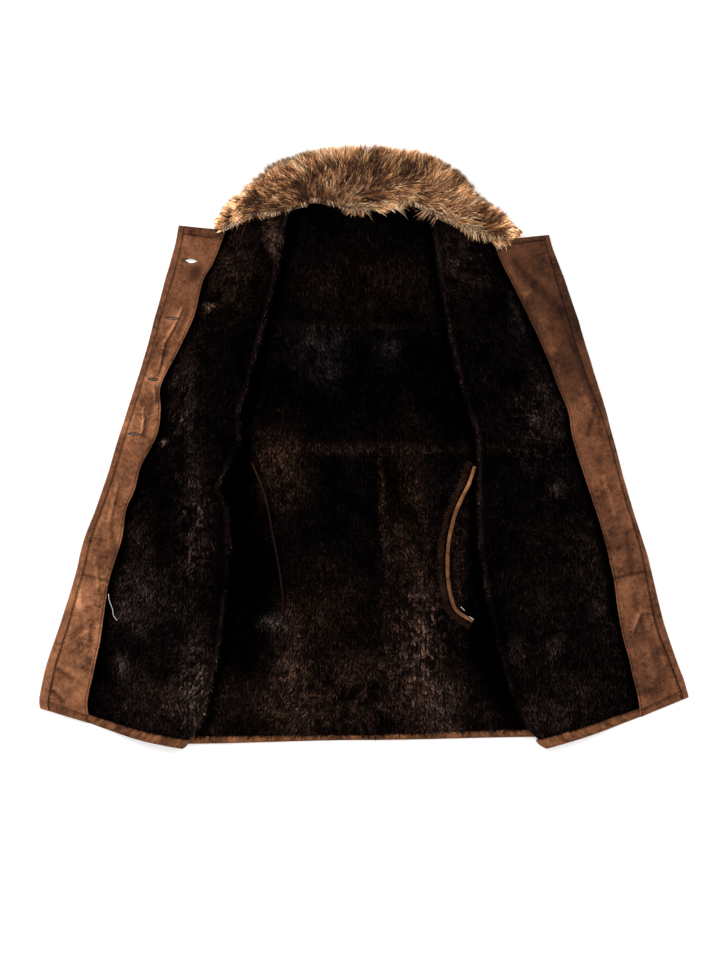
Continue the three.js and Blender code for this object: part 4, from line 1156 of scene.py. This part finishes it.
hole_stitches, hole_ways = [], []
for x, y, long, wide in zip(HOLE_X, *(BUTTONHOLES[k] for k in ("y", "long", "open"))):
    ring = turned(hole_outline(long + 2.4, wide + (2.6 if wide > 3 else 0.9), 25), HOLE_TILT)
    ring = ring[ring[:, 0] < (-0.26 * long if wide > 3 else long)]
    place = ring + (x, y)
    t = edge_row("r", place[:, 1:])
    in_from = -place[:, :1] - front_row("r", t)["facing"]
    hole_stitches.append(np.c_[place, facing_top("r", t, in_from)[0][:, 0, 2] + 0.3])
    hole_ways.append(np.c_[ring * (0.4, 1.0), np.zeros(len(ring))])
stitches("buttonhole_stitches", np.concatenate(hole_stitches), np.concatenate(hole_ways), 2.6, 1.2,
         dark_thread)

# ---- Bound edges ---------------------------------------------------------------------------------
# A strip of suede folded round each front edge and sewn down inside, leaving a groove beside the
# facing. It is plumper between the stitches that hold it.

EDGE_HIGH = 5.2          # the bound edge, from below to above


def tube(rows, around):
    """The points of a tube of rings as a grid of numbers, the same one step on round, and its quads."""
    i = np.arange(rows * around).reshape(rows, around)
    j = np.roll(i, -1, axis=1)
    return i, j, np.stack([i[:-1], j[:-1], j[1:], i[1:]], -1).reshape(-1, 4)


def bar(rings):
    """The quads of a closed bar through rings of an even number of points, with a ladder of quads over
    each end."""
    rows, around = rings.shape[:2]
    half = around // 2
    i, _, walls = tube(rows, around)
    first, last = (np.c_[end[:half - 1], end[1:half], end[around - 2:half - 1:-1],
                         end[around - 1:half:-1]] for end in (i[0], i[-1]))
    return np.concatenate([walls, first[:, ::-1], last])


def squared(v):
    """A sine or cosine bent towards 1 and -1, so that a circle made with it is nearly a square."""
    return np.sign(v) * np.abs(v) ** 0.55


def bound_edge(side):
    """A closed bar: a rounded section carried down the front edge."""
    t = rows_between(ROW["neck"], ROW["hem"], 4.5)
    front = front_row(side, t)
    first = front["edge"] - front["band"] - front["fold"]
    last = front["edge"] - front["fold"]
    turn = np.linspace(0, 2 * np.pi, 19)[:-1][None]
    plump = 1 + 0.05 * lumps(front["edge_y"], 0 * front["edge_y"], 7, 81)
    out = (first + last) / 2 + (last - first) / 2 * squared(np.cos(turn))
    z = low_of(side, t) + EDGE_HIGH / 2 * (1 + squared(np.sin(turn)) * plump * (1 - 0.08 * (plump - 1)))
    z = np.maximum(z, low_of(side, t))
    wavy = 0.5 * lumps(front["edge_y"], 0 * front["edge_y"], 21, 82) * (np.cos(turn) > 0)
    ring = front_xyz(side, front, out + wavy, z)
    # Painted shade along its side by the groove and a painted highlight along its outer roll, darker lines across at
    # its seams, and lumps of uneven tone.
    shade = 1.0 + 0.16 * lumps(ring[..., 0], ring[..., 1], 16, 83) - 0.45 * (np.cos(turn) < -0.8)
    shade += 0.16 * lumps(front["edge_y"], 4 * np.cos(turn), 5, 84)
    shade += 0.3 * (np.cos(turn) > 0.75)
    for crossing in ("yoke", "waist", "facing_seam"):
        shade -= 0.6 * np.exp(-((front["edge_y"] - FRONTS[side]["edge_y"][ROW[crossing]]) / 1.2) ** 2)
    tan = np.interp(ring[..., 1], *FACING_SHADES[side])
    piece = piece_of(f"edge_{side}_binding", ring.reshape(-1, 3), bar(ring), [facing_suede],
                     shade_and_tone=redder((shade * tan).ravel()))
    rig.replaces(piece, f"edge_{side}")
    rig.slot(piece, "suede")


for side in SIDES:
    bound_edge(side)

# ---- Hems ----------------------------------------------------------------------------------------
# The suede is turned up over the wool at the bottom of the fronts and the back, and stitched. It is
# paler than the facings, ribbed with small wrinkles, and the wool above hangs raggedly over it.

HEM = 5                  # a hem where it is plumpest
hem_suede = suede("hem_suede", linear(54, 32, 20), linear(124, 80, 52), 26)


def hem(name, node_name, hide, rise, rests_on):
    """A hem: a closed sheet, plump across its depth and wrinkled along its length."""
    down = lengths(hide, 0)
    share = down / down[-1:]
    length = lengths(hide, 1)
    plump = 0.72 + 0.28 * np.sqrt(np.clip(4 * share * (1 - share), 0, 1))
    wrinkled = 0.2 * lumps(length, down / 3, 3.2, 91) + 0.09 * lumps(length, down, 11, 92)
    over = hide + rise * (plump + wrinkled)[..., None]
    points, faces, _ = slab(over, hide)
    # Painted light on the wrinkles, lighter where they rise and darker where they sink, painted shade along the top
    # edge under the hanging wool, a darker line along the stitching, and lumps of uneven tone.
    shade = 1 + 2.2 * wrinkled + 0.14 * lumps(length, down, 30, 93) - 0.4 * np.exp(-((share / 0.16) ** 2))
    shade -= 0.3 * np.exp(-(((share - 0.78) / 0.05) ** 2))
    shade_and_tone = redder(np.concatenate([shade.ravel(), shade.ravel()]))
    piece = piece_of(name, points, faces, [hem_suede], shade_and_tone=shade_and_tone)
    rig.replaces(piece, node_name)
    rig.slot(piece, "suede")
    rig.sheet(piece, held="folded", rests_on=rests_on, **cut_of(hide))


upper, lower = rows_between(ROW["hem_top"], ROW["hem"])[[0, -1], 0]
hem_rows = np.linspace(upper, lower, 10)[:, None]
for side, sign in SIDES.items():
    hide = back_place(hem_rows, skirt_across(hem_rows, sign, 110 - 15 * sign))
    hem(f"hem_back_{side}_turnup", f"hem_back_{side}", hide,
        np.broadcast_to([0.0, 0.0, HEM], hide.shape), [f"back_skirt_{side}_panel"])
    s = np.concatenate([np.linspace(0, 1, 12)[:-1], np.linspace(1, 2, 9)[:-1],
                        np.linspace(2, 3, 70)[:-1], np.linspace(3, 4, 16)])[None]
    hide, rise = front_grid(side, hem_rows, s, HEM)
    hem(f"hem_front_{side}_turnup", f"hem_front_{side}", hide, rise, [f"back_skirt_{side}_panel"])

# ---- Pockets -------------------------------------------------------------------------------------
# A bag of thin shearling lies between the back and each front, wool out. The right one shows only a
# narrow seam at its free edge; the left one has a strip of bare hide along it.

POCKET_THICK = 6.5       # a bag with the strip along its seam
POCKETS = {
    "r": {"seam_from": 1.8, "seam_wide": 3.0, "rows": stations("x y", [
        (196, 10), (176, -25), (154, -81), (142, -142), (130, -209), (127, -262), (146, -287)])},
    "l": {"seam_from": 7.0, "seam_wide": 6.0, "rows": stations("x y", [
        (184, 4), (168, -28), (158, -56), (138, -98), (126, -146), (123, -194), (128, -238),
        (140, -268), (168, -287)])},
}
raw_hide = suede("raw_hide", linear(68, 42, 26), linear(118, 80, 52), 60)
POCKET_LOW = BACK["lift"][ROW["waist"]] + FUR + REST    # the height of the bags' undersides


def pocket_bag(side):
    """A bag's hide, with the wool's rise, from its free edge out under the front's tuck."""
    rows = POCKETS[side]["rows"]
    t = np.linspace(0, len(rows["x"]) - 1, 48)[:, None]
    free = along(rows, t)
    front = along(FRONTS[side], edge_row(side, free["y"]))
    outer = front["fold"] + front["tuck"] - 6
    s = np.concatenate([[0, 0.01, 0.03], np.linspace(0.07, 1, 16)])[None]
    out = free["x"] + (outer - free["x"]) * s
    thick = (POCKET_THICK - 1.5) * (0.45 + 0.55 * smooth(s / 0.05)) + 0 * out
    z = POCKET_LOW + 1.0 * (1 - smooth(s / 0.03))
    hide = np.stack(np.broadcast_arrays(SIDES[side] * out, free["y"] + 0 * out, z), -1)
    return hide, np.stack([0 * out, 0 * out, thick], -1)


def pocket_strip(side):
    """The bare strip beside the free edge: a low rounded bar laid along it."""
    pocket = POCKETS[side]
    last = len(pocket["rows"]["x"]) - 1
    t = np.linspace(1, last, 90)
    path = along(pocket["rows"], t)
    slope = unit(np.gradient(np.stack([path["x"], path["y"]], -1), axis=0))
    turn = np.linspace(0, 2 * np.pi, 13)[:-1][None]
    wide = pocket["seam_wide"] * (1 + 0.12 * lumps(path["y"], 0 * t, 9, 101))[:, None]
    inwards = pocket["seam_from"] + wide / 2 * (1 + np.cos(turn))
    x = path["x"][:, None] - slope[:, 1:] * inwards
    y = path["y"][:, None] + slope[:, :1] * inwards
    base = POCKET_LOW + POCKET_THICK + SEAM
    z = base + 0.9 + 0.9 * np.sin(turn) + 0.2 * lumps(x, y, 5, 102)
    ring = np.stack([SIDES[side] * x, y, z], -1)
    shade = (np.interp(y, (-120, -45), (1.0, 1.9)) + 0.2 * lumps(x, y, 7, 103)).reshape(-1, 1)
    piece = piece_of(f"pocket_seam_{side}_strip", ring.reshape(-1, 3), bar(ring),
                     [sheared if side == "r" else raw_hide], shade * linear(34, 25, 21), shade)
    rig.replaces(piece, f"pocket_seam_{side}")
    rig.slot(piece, "raw_hide")


for side, sign in SIDES.items():
    hide, rise = pocket_bag(side)
    shearling(f"pocket_{side}_panel", [f"pocket_bag_{side}"], hide, rise, 111 + sign,
              np.ones(hide.shape[:2]), between_folds(hide), [f"back_skirt_{side}_panel"])
    pocket_strip(side)


def pocket_fringe():
    """Wool that stands out all along the left bag's free edge, past its bare strip, and leans away
    from the bag and down the coat."""
    random = np.random.default_rng(115)
    rows = POCKETS["l"]["rows"]
    t = random.uniform(0.9, len(rows["x"]) - 1, 3200)
    path, ahead = along(rows, t), along(rows, t + 0.02)
    slope = unit(np.stack([ahead["x"] - path["x"], ahead["y"] - path["y"], 0 * t], -1) + [0, -1e-6, 0])
    outward = np.stack([slope[:, 1], -slope[:, 0], 0 * t], -1)
    inwards = (2.5 + 2.2 * random.normal(size=len(t)) + 1.5 * lumps(t * 12, 0 * t, 5, 116))[:, None]
    root = np.stack([path["x"], path["y"], 0 * t + POCKET_LOW + POCKET_THICK - 1.5], -1)
    root = root - outward * inwards
    flow = unit(outward + slope * random.normal(0.35, 0.3, (len(t), 1)))
    long = random.uniform(2.0, 7.5, (len(t), 1))
    path = np.stack([root, root + flow * long * 0.5 + [0, 0, 1.4], root + flow * long + [0, 0, 0.4]], 1)
    half = slope[:, None] * 0.5
    mood = random.normal(0, 0.6, (len(t), 1)) + 0.5 * lumps(t * 12, 0 * t, 6, 117)[:, None]
    tone = linear(36, 26, 21) * np.exp(mood)
    tones = tone[:, None] * np.array([0.25, 0.8, 1.8])[None, :, None]
    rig.slot(strands("pocket_l_fringe", path, half, tones, sheared), "shearling")


def loose_thread(name, knots, half):
    """A loose end of thread: a thin round cord carried along a curve through its knots."""
    table = stations("x y z", knots)
    path = along(table, np.linspace(0, len(knots) - 1, 30))
    path = np.stack([path["x"], path["y"], path["z"]], -1)
    way = unit(np.gradient(path, axis=0))
    across = unit(np.cross(way, [0.0, 0.0, 1.0]))
    upward = np.cross(across, way)
    turn = np.linspace(0, 2 * np.pi, 7)[:-1][None, :, None]
    ring = path[:, None] + half * (across[:, None] * np.cos(turn) + upward[:, None] * np.sin(turn))
    piece = piece_of(name, ring.reshape(-1, 3), bar(ring), [pale_thread])
    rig.slot(piece, "suede")


pocket_fringe()
loose_thread("loose_thread_front", [(-409.6, -236, 8.5), (-408, -247, 9.5), (-402.5, -262, 10.5),
                                    (-401.5, -270, 11), (-395.7, -278.4, 10)], 0.45)
loose_thread("loose_thread_pocket_upper", [(154, -256, 29.5), (158, -259, 31), (160, -262, 30)], 0.4)
loose_thread("loose_thread_pocket_lower", [(168, -271, 29.5), (172, -274, 31), (175, -276, 30)], 0.4)

# ---- Sleeves -------------------------------------------------------------------------------------
# Shearling tubes pressed flat under the back, suede out, from each armhole down to an open cuff.

SLEEVE = {"thick": 13, "wall": 5.8}
ARMHOLES = {"r": (134, 326, 224, 78), "l": (118, 326, 194, 78)}
SLEEVE_ROWS = [(104, 262, 222, 30), (88, 150, 220, -40), (82, 20, 216, -110), (82, -110, 210, -190),
               (82, -276, 204, -284)]


def sleeve(side):
    """A flattened tube with a wall: straight over and under, half round at its two edges."""
    table = stations("inner_x inner_y outer_x outer_y", [ARMHOLES[side], *SLEEVE_ROWS])
    rows = along(table, np.linspace(0, 5, 60)[:, None])
    middle = SLEEVE["thick"] / 2
    wide = np.hypot(rows["outer_x"] - rows["inner_x"], rows["outer_y"] - rows["inner_y"])
    ux, uy = ((rows[f"outer_{a}"] - rows[f"inner_{a}"]) / wide for a in "xy")
    half_turn = np.linspace(-0.5, 0.5, 9) * np.pi
    flat = np.linspace(0, 1, 14)[1:-1]

    def ring(reach):
        right = (wide - middle + reach * np.cos(half_turn), reach * np.sin(half_turn) + 0 * wide)
        left = (middle - reach * np.cos(half_turn) + 0 * wide, -reach * np.sin(half_turn) + 0 * wide)
        over = (wide - middle + (2 * middle - wide) * flat, reach + 0 * flat + 0 * wide)
        under = (middle + (wide - 2 * middle) * flat, -reach + 0 * flat + 0 * wide)
        s = np.concatenate([right[0], over[0], left[0], under[0]], 1)
        z = np.concatenate([right[1], over[1], left[1], under[1]], 1)
        x, y = rows["inner_x"] + ux * s, rows["inner_y"] + uy * s
        z = z * (1 - 0.05 * np.abs(lumps(x, y, 26, 121)))
        return np.stack([SIDES[side] * x, y, middle + z], -1)

    outer, inner = ring(middle), ring(middle - SLEEVE["wall"])
    i, j, skin = tube(*outer.shape[:2])
    count = i.size
    ends = [np.c_[i[0], i[0] + count, j[0] + count, j[0]],
            np.c_[i[-1], j[-1], j[-1] + count, i[-1] + count]]
    faces = np.concatenate([skin, skin[:, ::-1] + count, *ends])
    points = np.concatenate([outer.reshape(-1, 3), inner.reshape(-1, 3)])
    which = np.zeros(len(faces))
    which[len(skin):2 * len(skin)] = 1
    tone = np.broadcast_to(BLACK_WOOL, points.shape)
    piece = piece_of(f"sleeve_{side}_tube", points, faces, [outside_suede, sheared], tone, which=which)
    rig.replaces(piece, f"sleeve_{side}")
    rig.slot(piece, "suede")
    opened = np.concatenate([outer, outer[:, :1]], 1)
    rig.sheet(piece, held="folded", rests_on=["back_body_panel"], **cut_of(opened))


for side in SIDES:
    sleeve(side)

# ---- Buttons -------------------------------------------------------------------------------------
# Turned horn buttons on the outside of the left front, under its edge as it lies: dark brown with
# paler streaks, polished.

horn = bpy.data.materials.new("horn")
horn.use_nodes = True
tree = horn.node_tree
shell = tree.nodes["Principled BSDF"]
place = node(tree, "ShaderNodeTexCoord").outputs["Object"]
stretched = node(tree, "ShaderNodeMapping", {"Vector": place, "Scale": (60, 260, 200)})
streaks = node(tree, "ShaderNodeTexNoise", {"Vector": stretched.outputs[0], "Scale": 1.0,
                                            "Detail": 6.0, "Distortion": 1.2})
ramp = node(tree, "ShaderNodeValToRGB", {"Fac": streaks.outputs["Fac"]})
ramp.color_ramp.elements[0].position = 0.35
ramp.color_ramp.elements[0].color = (*linear(38, 24, 16), 1)
ramp.color_ramp.elements[1].position = 0.7
ramp.color_ramp.elements[1].color = (*linear(120, 82, 50), 1)
polish = node(tree, "ShaderNodeMapRange", {"Value": streaks.outputs["Fac"], "To Min": 0.25,
                                           "To Max": 0.5})
tree.links.new(ramp.outputs["Color"], shell.inputs["Base Color"])
tree.links.new(polish.outputs[0], shell.inputs["Roughness"])
for name, button in frame["nodes"].items():
    if name.startswith("button_"):
        for look_slot in button.material_slots:
            look_slot.material = horn

# ---- Under collar --------------------------------------------------------------------------------
# A crescent of suede sewn to the neck, on which the fur collar is made up. The coat lies on it.

COLLAR = stations("x top_x top_y thick", [
    (-232, -239, 368, 0.45), (-207, -213, 393, 0.7), (-176, -191, 413, 0.9), (-150, -172, 435, 1),
    (-121, -140, 460, 1), (-90, -100, 472, 1), (-45, -50, 480, 1), (0, 0, 484, 1), (40, 46, 480, 1),
    (80, 93, 472, 1), (110, 130, 457, 1), (134, 157, 438, 1), (155, 176, 411, 0.95),
    (180, 197, 391, 0.85), (208, 228, 370, 0.7), (240, 254, 348, 0.45)])


def neck_edge(x):
    """The neck's height up the coat: the back's line between the folds, then the fronts'."""
    sides = {}
    for side in SIDES:
        front = {k: column[0] for k, column in FRONTS[side].items()}
        out = np.abs(x)
        inside = BACK["y"][0] + (front["fold_y"] - BACK["y"][0]) * smooth(out / front["fold"])
        inside = inside + neck_waves(x, inside)
        outside = front_xyz(side, front, np.maximum(out - front["fold"], 0), 0 * out)[..., 1]
        sides[side] = np.where(out < front["fold"], inside, outside)
    return np.where(x < 0, sides["r"], sides["l"])


def collar_place(u, v):
    """A place on the collar, u along its stations and v from the neck out to the ends of its fur."""
    row = along(COLLAR, u)
    low_y = neck_edge(row["x"]) + 3 * SEAM
    x = row["x"] + (row["top_x"] - row["x"]) * v
    return x, low_y + (row["top_y"] - low_y) * v, row["thick"] + 0 * x


u, v = np.linspace(0, 15, 100)[:, None], np.linspace(0, 0.9, 14)[None]
x, y, _ = collar_place(u, v)
under = np.stack([x, y, 0 * x], -1)
over = under + [0, 0, SUEDE]
points, faces, _ = slab(over, under)
under_collar = piece_of("under_collar_crescent", points, faces, [outside_suede])
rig.replaces(under_collar, "under_collar")
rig.slot(under_collar, "suede")

# ---- Collar fur ----------------------------------------------------------------------------------
# Long golden-brown fur with dark roots and pale tips. A dense lumpy underfur is covered by locks of
# long hair that sweep out from the neck, cross each other and stand past the edge in wisps.

COLLAR_THICK = 25        # the fur where it stands highest
golden = wool("collar_fur", 0.55, 0.1, 0.0, (0.9, 0.75, 0.55))
UNDERFUR = linear(72, 46, 31)
FUR_SHADES = np.array([linear(190, 138, 94), linear(250, 216, 172), linear(106, 67, 42),
                       linear(42, 27, 20)])
FUR_HIGH = ((0, 0.12, 0.35, 0.62, 0.86, 1), (0.5, 0.84, 1, 0.92, 0.62, 0.22))


def fur_height(thick, v):
    """How high the collar's fur stands: low at the neck, full a third of the way out, low again."""
    return COLLAR_THICK * thick * np.interp(v, *FUR_HIGH)


u, v = np.linspace(0, 15, 150)[:, None], np.linspace(0, 0.85, 34)[None]
x, y, thick = collar_place(u, v)
v_all = v + 0 * x
base = np.stack([x, y, 0 * x + SUEDE + SEAM], -1)
high = fur_height(thick, v_all) * (0.62 + 0.10 * lumps(x, y, 16, 131) + 0.07 * lumps(x, y, 7, 132))
ends = smooth((u + 0 * v) / 1.2) * smooth((15 - u + 0 * v) / 1.2)
over = base + np.stack([0 * x, 0 * x, 2 + high * (0.35 + 0.65 * ends)], -1)
points, faces, _ = slab(over, base)
tone = UNDERFUR * (1 + 0.5 * lumps(points[:, 0], points[:, 1], 9, 133))[:, None]
underfur = piece_of("collar_underfur", points, faces, [golden], tone=tone)
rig.replaces(underfur, "collar_fur")
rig.slot(underfur, "collar_fur")


# The way the hair lies across the collar, in degrees from the coat's left.
HAIR_WAYS = ((-240, -232, -176, -121, -45, 0, 46, 93, 145, 208, 240),
             (205, 200, 158, 138, 120, 96, 66, 50, 34, 12, -12))
NECK_WAYS = ((-240, -190, -130, -80, -30, 30, 80, 140, 200, 240),
             (205, 178, 150, 95, 32, 14, 20, 14, -6, -18))
STRAND = 2.5             # the width of the locks that share a shade

# How far the hair may reach at places across the collar, and the shares of its length that it's bent at.
REACHES = ((-235, -190, -150, -110, -60, 0, 60, 110, 150, 190, 250),
           (14, 26, 38, 66, 96, 100, 96, 74, 50, 34, 14))
COARSE_STOPS, FINE_STOPS = (0, 0.3, 0.64, 1), (0, 0.25, 0.5, 0.76, 1)


def collar_locks(name, count, seed, reach, spread, shares, thin=1.0, stray=0.1):
    """Long hairs in narrow locks over the underfur. Each rises and sweeps out from the neck, sideways
    near it and fanning out at the edge, bends with its lock, and pales towards its tip."""
    random = np.random.default_rng(seed)
    u, v = random.uniform(0, 15, count), random.uniform(*spread, count)
    x, y, thick = collar_place(u, v)
    ends = smooth(u / 1.4) * smooth((15 - u) / 1.4)
    z = SUEDE + SEAM + 2 + fur_height(thick, v) * 0.62 * (0.35 + 0.65 * ends)
    out_way = np.radians(np.interp(x, *HAIR_WAYS))
    sideways = np.radians(np.interp(x + 12 * lumps(y, x, 30, 141), *NECK_WAYS))
    way = out_way + (sideways - out_way) * (1 - smooth((v - 0.1) / 0.45)) + 0.35 * lumps(x, y, 34, 142)
    along_way = (x * np.cos(way) + y * np.sin(way)) / 6
    across_way = y * np.cos(way) - x * np.sin(way)
    _, mood = gathered(along_way, across_way, STRAND, 152)
    to_middle, lock_mood = gathered(x, y, 6, 153)
    angle = way + 0.4 * (lock_mood - 0.5) + 0.3 * (mood - 0.5) + random.normal(0, stray, count)
    flow = np.stack([np.cos(angle), np.sin(angle), 0 * angle], -1)
    bent = np.stack([-np.sin(angle), np.cos(angle), 0 * angle], -1)
    curl = (0.35 * lumps(x, y, 20, 143) + 0.5 * (lock_mood - 0.5))[:, None]
    room = (1.0 - v) * np.interp(x, *REACHES) + 2 + 5 * (1 - np.abs(np.sin(out_way))) * ends
    room = np.maximum(room + random.normal(0, 2.2, count), 3) + 7 * (random.random(count) < 0.06)
    length = np.minimum(reach * random.uniform(0.7, 1.15, count), room) * (0.5 + 0.5 * ends)
    length = length[:, None]
    lift = ((0.3 + 0.3 * mood) * smooth((1.02 - v) / 0.3))[:, None]
    pull = np.concatenate([to_middle, np.zeros((count, 1))], 1) * 0.3
    stops = []
    for s in shares:
        rise = lift * length * (1.5 * s - 1.35 * s * s)
        stops.append(np.stack([x, y, z], -1) + flow * length * s * (1 - 0.08 * s)
                     + bent * curl * length * s * s + [0, 0, 1] * rise + pull * s)
    path = np.stack(stops, 1)
    path[..., 2] = np.maximum(path[..., 2], 1.0 + 0.5 * random.random((count, 1)))
    across = unit(np.cross([0, 0, 1.0], path[:, -1] - path[:, 0]))
    twist = random.uniform(-0.9, 0.9, (count, 1))
    half = across * np.cos(twist) + np.array([0, 0, 1.0]) * np.sin(twist)
    inner = np.arange(1, len(stops) - 1) / (len(stops) - 2)
    widths = np.interp(inner, (0, 0.6, 1), (0.44, 0.4, 0.24))
    widths = widths[None, :, None] * random.uniform(0.6, 1.15, (count, 1, 1)) * thin
    middle = np.exp(-((x - 10) / 70) ** 2) * np.exp(-((v - 0.32) / 0.3) ** 2)
    shoulders = np.exp(-((x + 125) / 48) ** 2) + 0.8 * np.exp(-((x - 150) / 40) ** 2)
    rim = smooth((v - 0.52) / 0.2) * shoulders
    pick = mood + 0.22 * lumps(x, y, 22, 145) + 0.22 * middle + 0.12 * random.normal(size=count)
    shade = np.select([pick < 0.34, pick < 0.70, pick < 0.94], [1, 0, 2], 3)
    hair = FUR_SHADES[shade] * np.exp(random.normal(0, 0.25, (count, 1)))
    pale_end = np.exp(-((x + 205) / 40) ** 2) + np.exp(-((x - 200) / 45) ** 2)
    lighter = 0.12 + 0.1 * pale_end - 1.9 * rim - 0.25 * middle + 0.3 * lumps(x, y, 26, 146)
    hair = hair * np.exp(lighter)[:, None]
    grade = np.interp(np.linspace(0, 1, len(stops)), (0, 0.25, 0.5, 0.75, 1), (0.16, 0.5, 1.0, 1.5, 1.95))
    piece = strands(name, path, half[:, None] * widths, hair[:, None] * grade[None, :, None], golden)
    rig.slot(piece, "collar_fur")
    return piece


# Where pale tips hang from the neck over the lining: the middle, half width and depth of each run.
OVERHANGS = stations("x half deep many", [
    (-14, 18, 12, 150), (56, 14, 9, 110), (165, 26, 17, 300), (-150, 30, 9, 110), (118, 18, 16, 180),
    (-60, 90, 5, 120), (60, 110, 5, 120), (210, 30, 8, 80), (-205, 22, 7, 60)])


def overhanging():
    """Fine hairs that hang down from the neck's line over the wool, curling to one side."""
    random = np.random.default_rng(171)
    many = OVERHANGS["many"].astype(int)
    x = np.repeat(OVERHANGS["x"], many) + np.repeat(OVERHANGS["half"], many) * np.clip(
        random.normal(0, 0.55, many.sum()), -1.3, 1.3)
    deep = np.repeat(OVERHANGS["deep"], many) * random.uniform(0.5, 1.2, len(x))
    lock = lumps(x, 0 * x, 5, 172)
    angle = np.radians(-90) + 0.9 * lock + random.normal(0, 0.35, len(x))
    flow = np.stack([np.cos(angle), np.sin(angle), 0 * angle], -1)
    base = BACK["lift"][1] * smooth((np.abs(x) - 25) / 45) + FUR + 2
    root = np.stack([x, neck_edge(x) + 6, base + 2], -1)
    stops = []
    for s in (0, 0.35, 0.7, 1):
        side = np.stack([np.sin(3 * lock), 0 * lock, 0 * lock], -1) * (deep * 0.35)[:, None] * s * s
        stops.append(root + flow * (deep + 6)[:, None] * s + side
                     + np.array([0, 0, 1.4 * s - 2.2 * s * s]))
    path = np.stack(stops, 1)
    half = np.tile([0.3, 0.0, 0.1], (len(x), 1))[:, None] * np.array([1, 0.8])[None, :, None]
    hair = FUR_SHADES[random.integers(0, 4, len(x))] * random.uniform(0.5, 1.2, (len(x), 1))
    grade = np.array([0.5, 0.8, 1.0, 1.2])[None, :, None]
    piece = strands("collar_overhang", path, half, hair[:, None] * grade, golden)
    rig.slot(piece, "collar_fur")
    return piece


hair = [collar_locks("collar_hair_under", 26000, 151, 24, (-0.02, 0.84), COARSE_STOPS),
        collar_locks("collar_hair_middle", 24000, 156, 28, (-0.02, 0.82), FINE_STOPS),
        collar_locks("collar_hair_over", 14000, 161, 32, (0.02, 0.8), FINE_STOPS),
        collar_locks("collar_guard_hair", 4200, 166, 40, (-0.02, 0.78), FINE_STOPS, 0.6, 0.34),
        overhanging()]
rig.sheet(under_collar, held="laid", rests_on=["back_yoke_panel"], with_pieces=[underfur, *hair],
         **cut_of(over))

low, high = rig.bounds()
with open("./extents.json", "w") as size_file:
    json.dump({"cad": [cad_low, cad_high], "visual": [list(low), list(high)]}, size_file)
